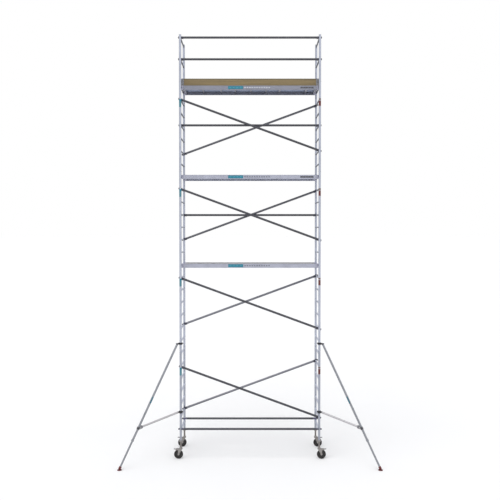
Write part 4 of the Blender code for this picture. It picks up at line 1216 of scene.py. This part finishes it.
def foot_mesh():
    """Rubber boot in the stabiliser's frame: a treaded pad, a waist and a tilted cup."""
    piece = Piece()
    at, top = shift(x=STAB_REACH), PAD_THICK
    pad = lathe([(PAD_R - 0.004, 0.0), (PAD_R - 0.0012, 0.001), (PAD_R, 0.004), (PAD_R - 0.0005, 0.008),
                 (PAD_R - 0.006, top - 0.001), (PAD_R - 0.016, top), (0, top)], 40)
    piece.add(pad, FOOT_RUBBER, at)
    for k in range(4):
        radius = 0.038 - 0.005 * k
        ridge = [(radius, top - 0.0012), (radius + 0.0016, top - 0.0004), (radius, top + 0.001),
                 (radius - 0.0016, top - 0.0004)]
        piece.add(lathe(ridge, 36, loop=True), FOOT_RUBBER, at)
    outside = mm((10, -12), (20, -12), (26.2, -8), (27, 0), (26.2, 12), (27, 16), (27, 44), (25.8, 49))
    inside = INNER_R + GAP
    cup = lathe([*outside, (inside, 0.05), (inside, 0.001), (0.01, 0.0)], 28, loop=True)
    piece.add(cup, FOOT_RUBBER, ON_LEG)
    return piece.mesh("rubber_foot")


def build_stabilisers():
    upper, lower, outer = upper_clamp_mesh(), lower_clamp_mesh(), outer_tube_mesh()
    strut, sleeve, strut_matrix = strut_parts()
    inner, foot = inner_tube_mesh(), foot_mesh()
    low_s, length, stripe = 0.53 * HEAD_S - 0.045, 0.15, (0.02, 0.035)
    label = Piece()
    label.add(wrap(STAB_R, LABEL_PROUD, low_s, low_s + length, -220, 40), LEG_TEAL)
    label.add(wrap(STAB_R + LABEL_PROUD, 0.0003, low_s + stripe[0], low_s + stripe[1], -190, 10), TEAL)
    label = label.mesh("stabiliser_label")
    for side, word in SIDES:
        base = shift(side * POST_X, NEAR_Y) @ spin(180 + STAB_ANGLE if side < 0 else -STAB_ANGLE)
        leg, body, lower_body = base @ ON_LEG, f"stabiliser_{word}", f"stabiliser_lower_{word}"
        place(f"upper_clamp_{word}", upper, body, base)
        place(f"lower_clamp_{word}", lower, body, base)
        place(f"outer_tube_{word}", outer, body, leg, [f"stabiliser_leg_{word}"])
        place(f"strut_{word}", strut, body, base @ strut_matrix, [f"stabiliser_strut_{word}"])
        place(f"strut_sleeve_{word}", sleeve, body, leg)
        place(f"inner_tube_{word}", inner, lower_body, leg, [f"stabiliser_inner_tube_{word}"])
        boot = foot.copy()
        boot.transform(base.to_3x3().to_4x4())
        place(f"rubber_foot_{word}", boot, lower_body, Matrix.Translation(base.translation),
              [f"stabiliser_foot_{word}"])
        place(f"stabiliser_label_{word}", label, body, leg)


# ---- stickers -----------------------------------------------------------------------------------
def build_stickers():
    """Plain colour patches: bands on the near posts and rows of blocks on each platform."""
    bands = {"left": ((-0.085, 0.04, POST_TEAL), (0.04, 0.085, TEAL)),
             "right": ((-0.06, 0.055, RED), (0.07, 0.1, BROWN))}
    meshes = {}
    for word, colours in bands.items():
        piece = Piece()
        for low, high, finish in colours:
            piece.add(wrap(POST_R, LABEL_PROUD, low, high, -190, 10), finish)
        meshes[word] = piece.mesh("post_sticker")
    for level in range(LEVELS):
        height = FRAME_BOTTOM + level * FRAME_HEIGHT + POST_STICKER_Z
        for side, word in SIDES:
            place(f"post_sticker_{level + 1}_{word}", meshes[word], "tower",
                  shift(side * POST_X, NEAR_Y, height))

    face_y = MID_Y - DECK_HALF
    for number, rung in enumerate(PLATFORM_RUNGS, start=1):
        # count, first x, pitch, width, low, high, finish, how far it stands out over a patch below it
        rows = [(1, -0.48, 0.0, 0.33, -0.044, 0.023, TEAL, 0.0),
                (4, -0.455, 0.077, 0.04, -0.02, 0.002, PALE_TEAL, 0.0002),
                (11, -0.125, 0.053, 0.032, -0.022, 0.004, PALE if number > 2 else GREY, 0.0)]
        if number > 1:
            rows += [(1, 1.1, 0.0, 0.3, -0.032, 0.01, GREY, 0.0),
                     (5, 1.11, 0.058, 0.046, -0.026, 0.004, DARK_PRINT_AND_HOLE_SHADE, 0.0002)]
        piece, z = Piece(), rung_height(rung)
        for count, first, pitch, wide, low, high, finish, out in rows:
            for x in (first + pitch * k for k in range(count)):
                near, far = (x, face_y - LABEL_PROUD - out, z + low), (x + wide, face_y + 0.0001, z + high)
                piece.add(block(near, far), finish)
        place(f"platform_stickers_{number}", piece.mesh("platform_stickers"), "tower")


build_floor()
build_surroundings()
build_lights_and_camera()
build_frames()
build_braces()
build_castors()
build_platforms()
build_toe_boards()
build_stabilisers()
build_stickers()
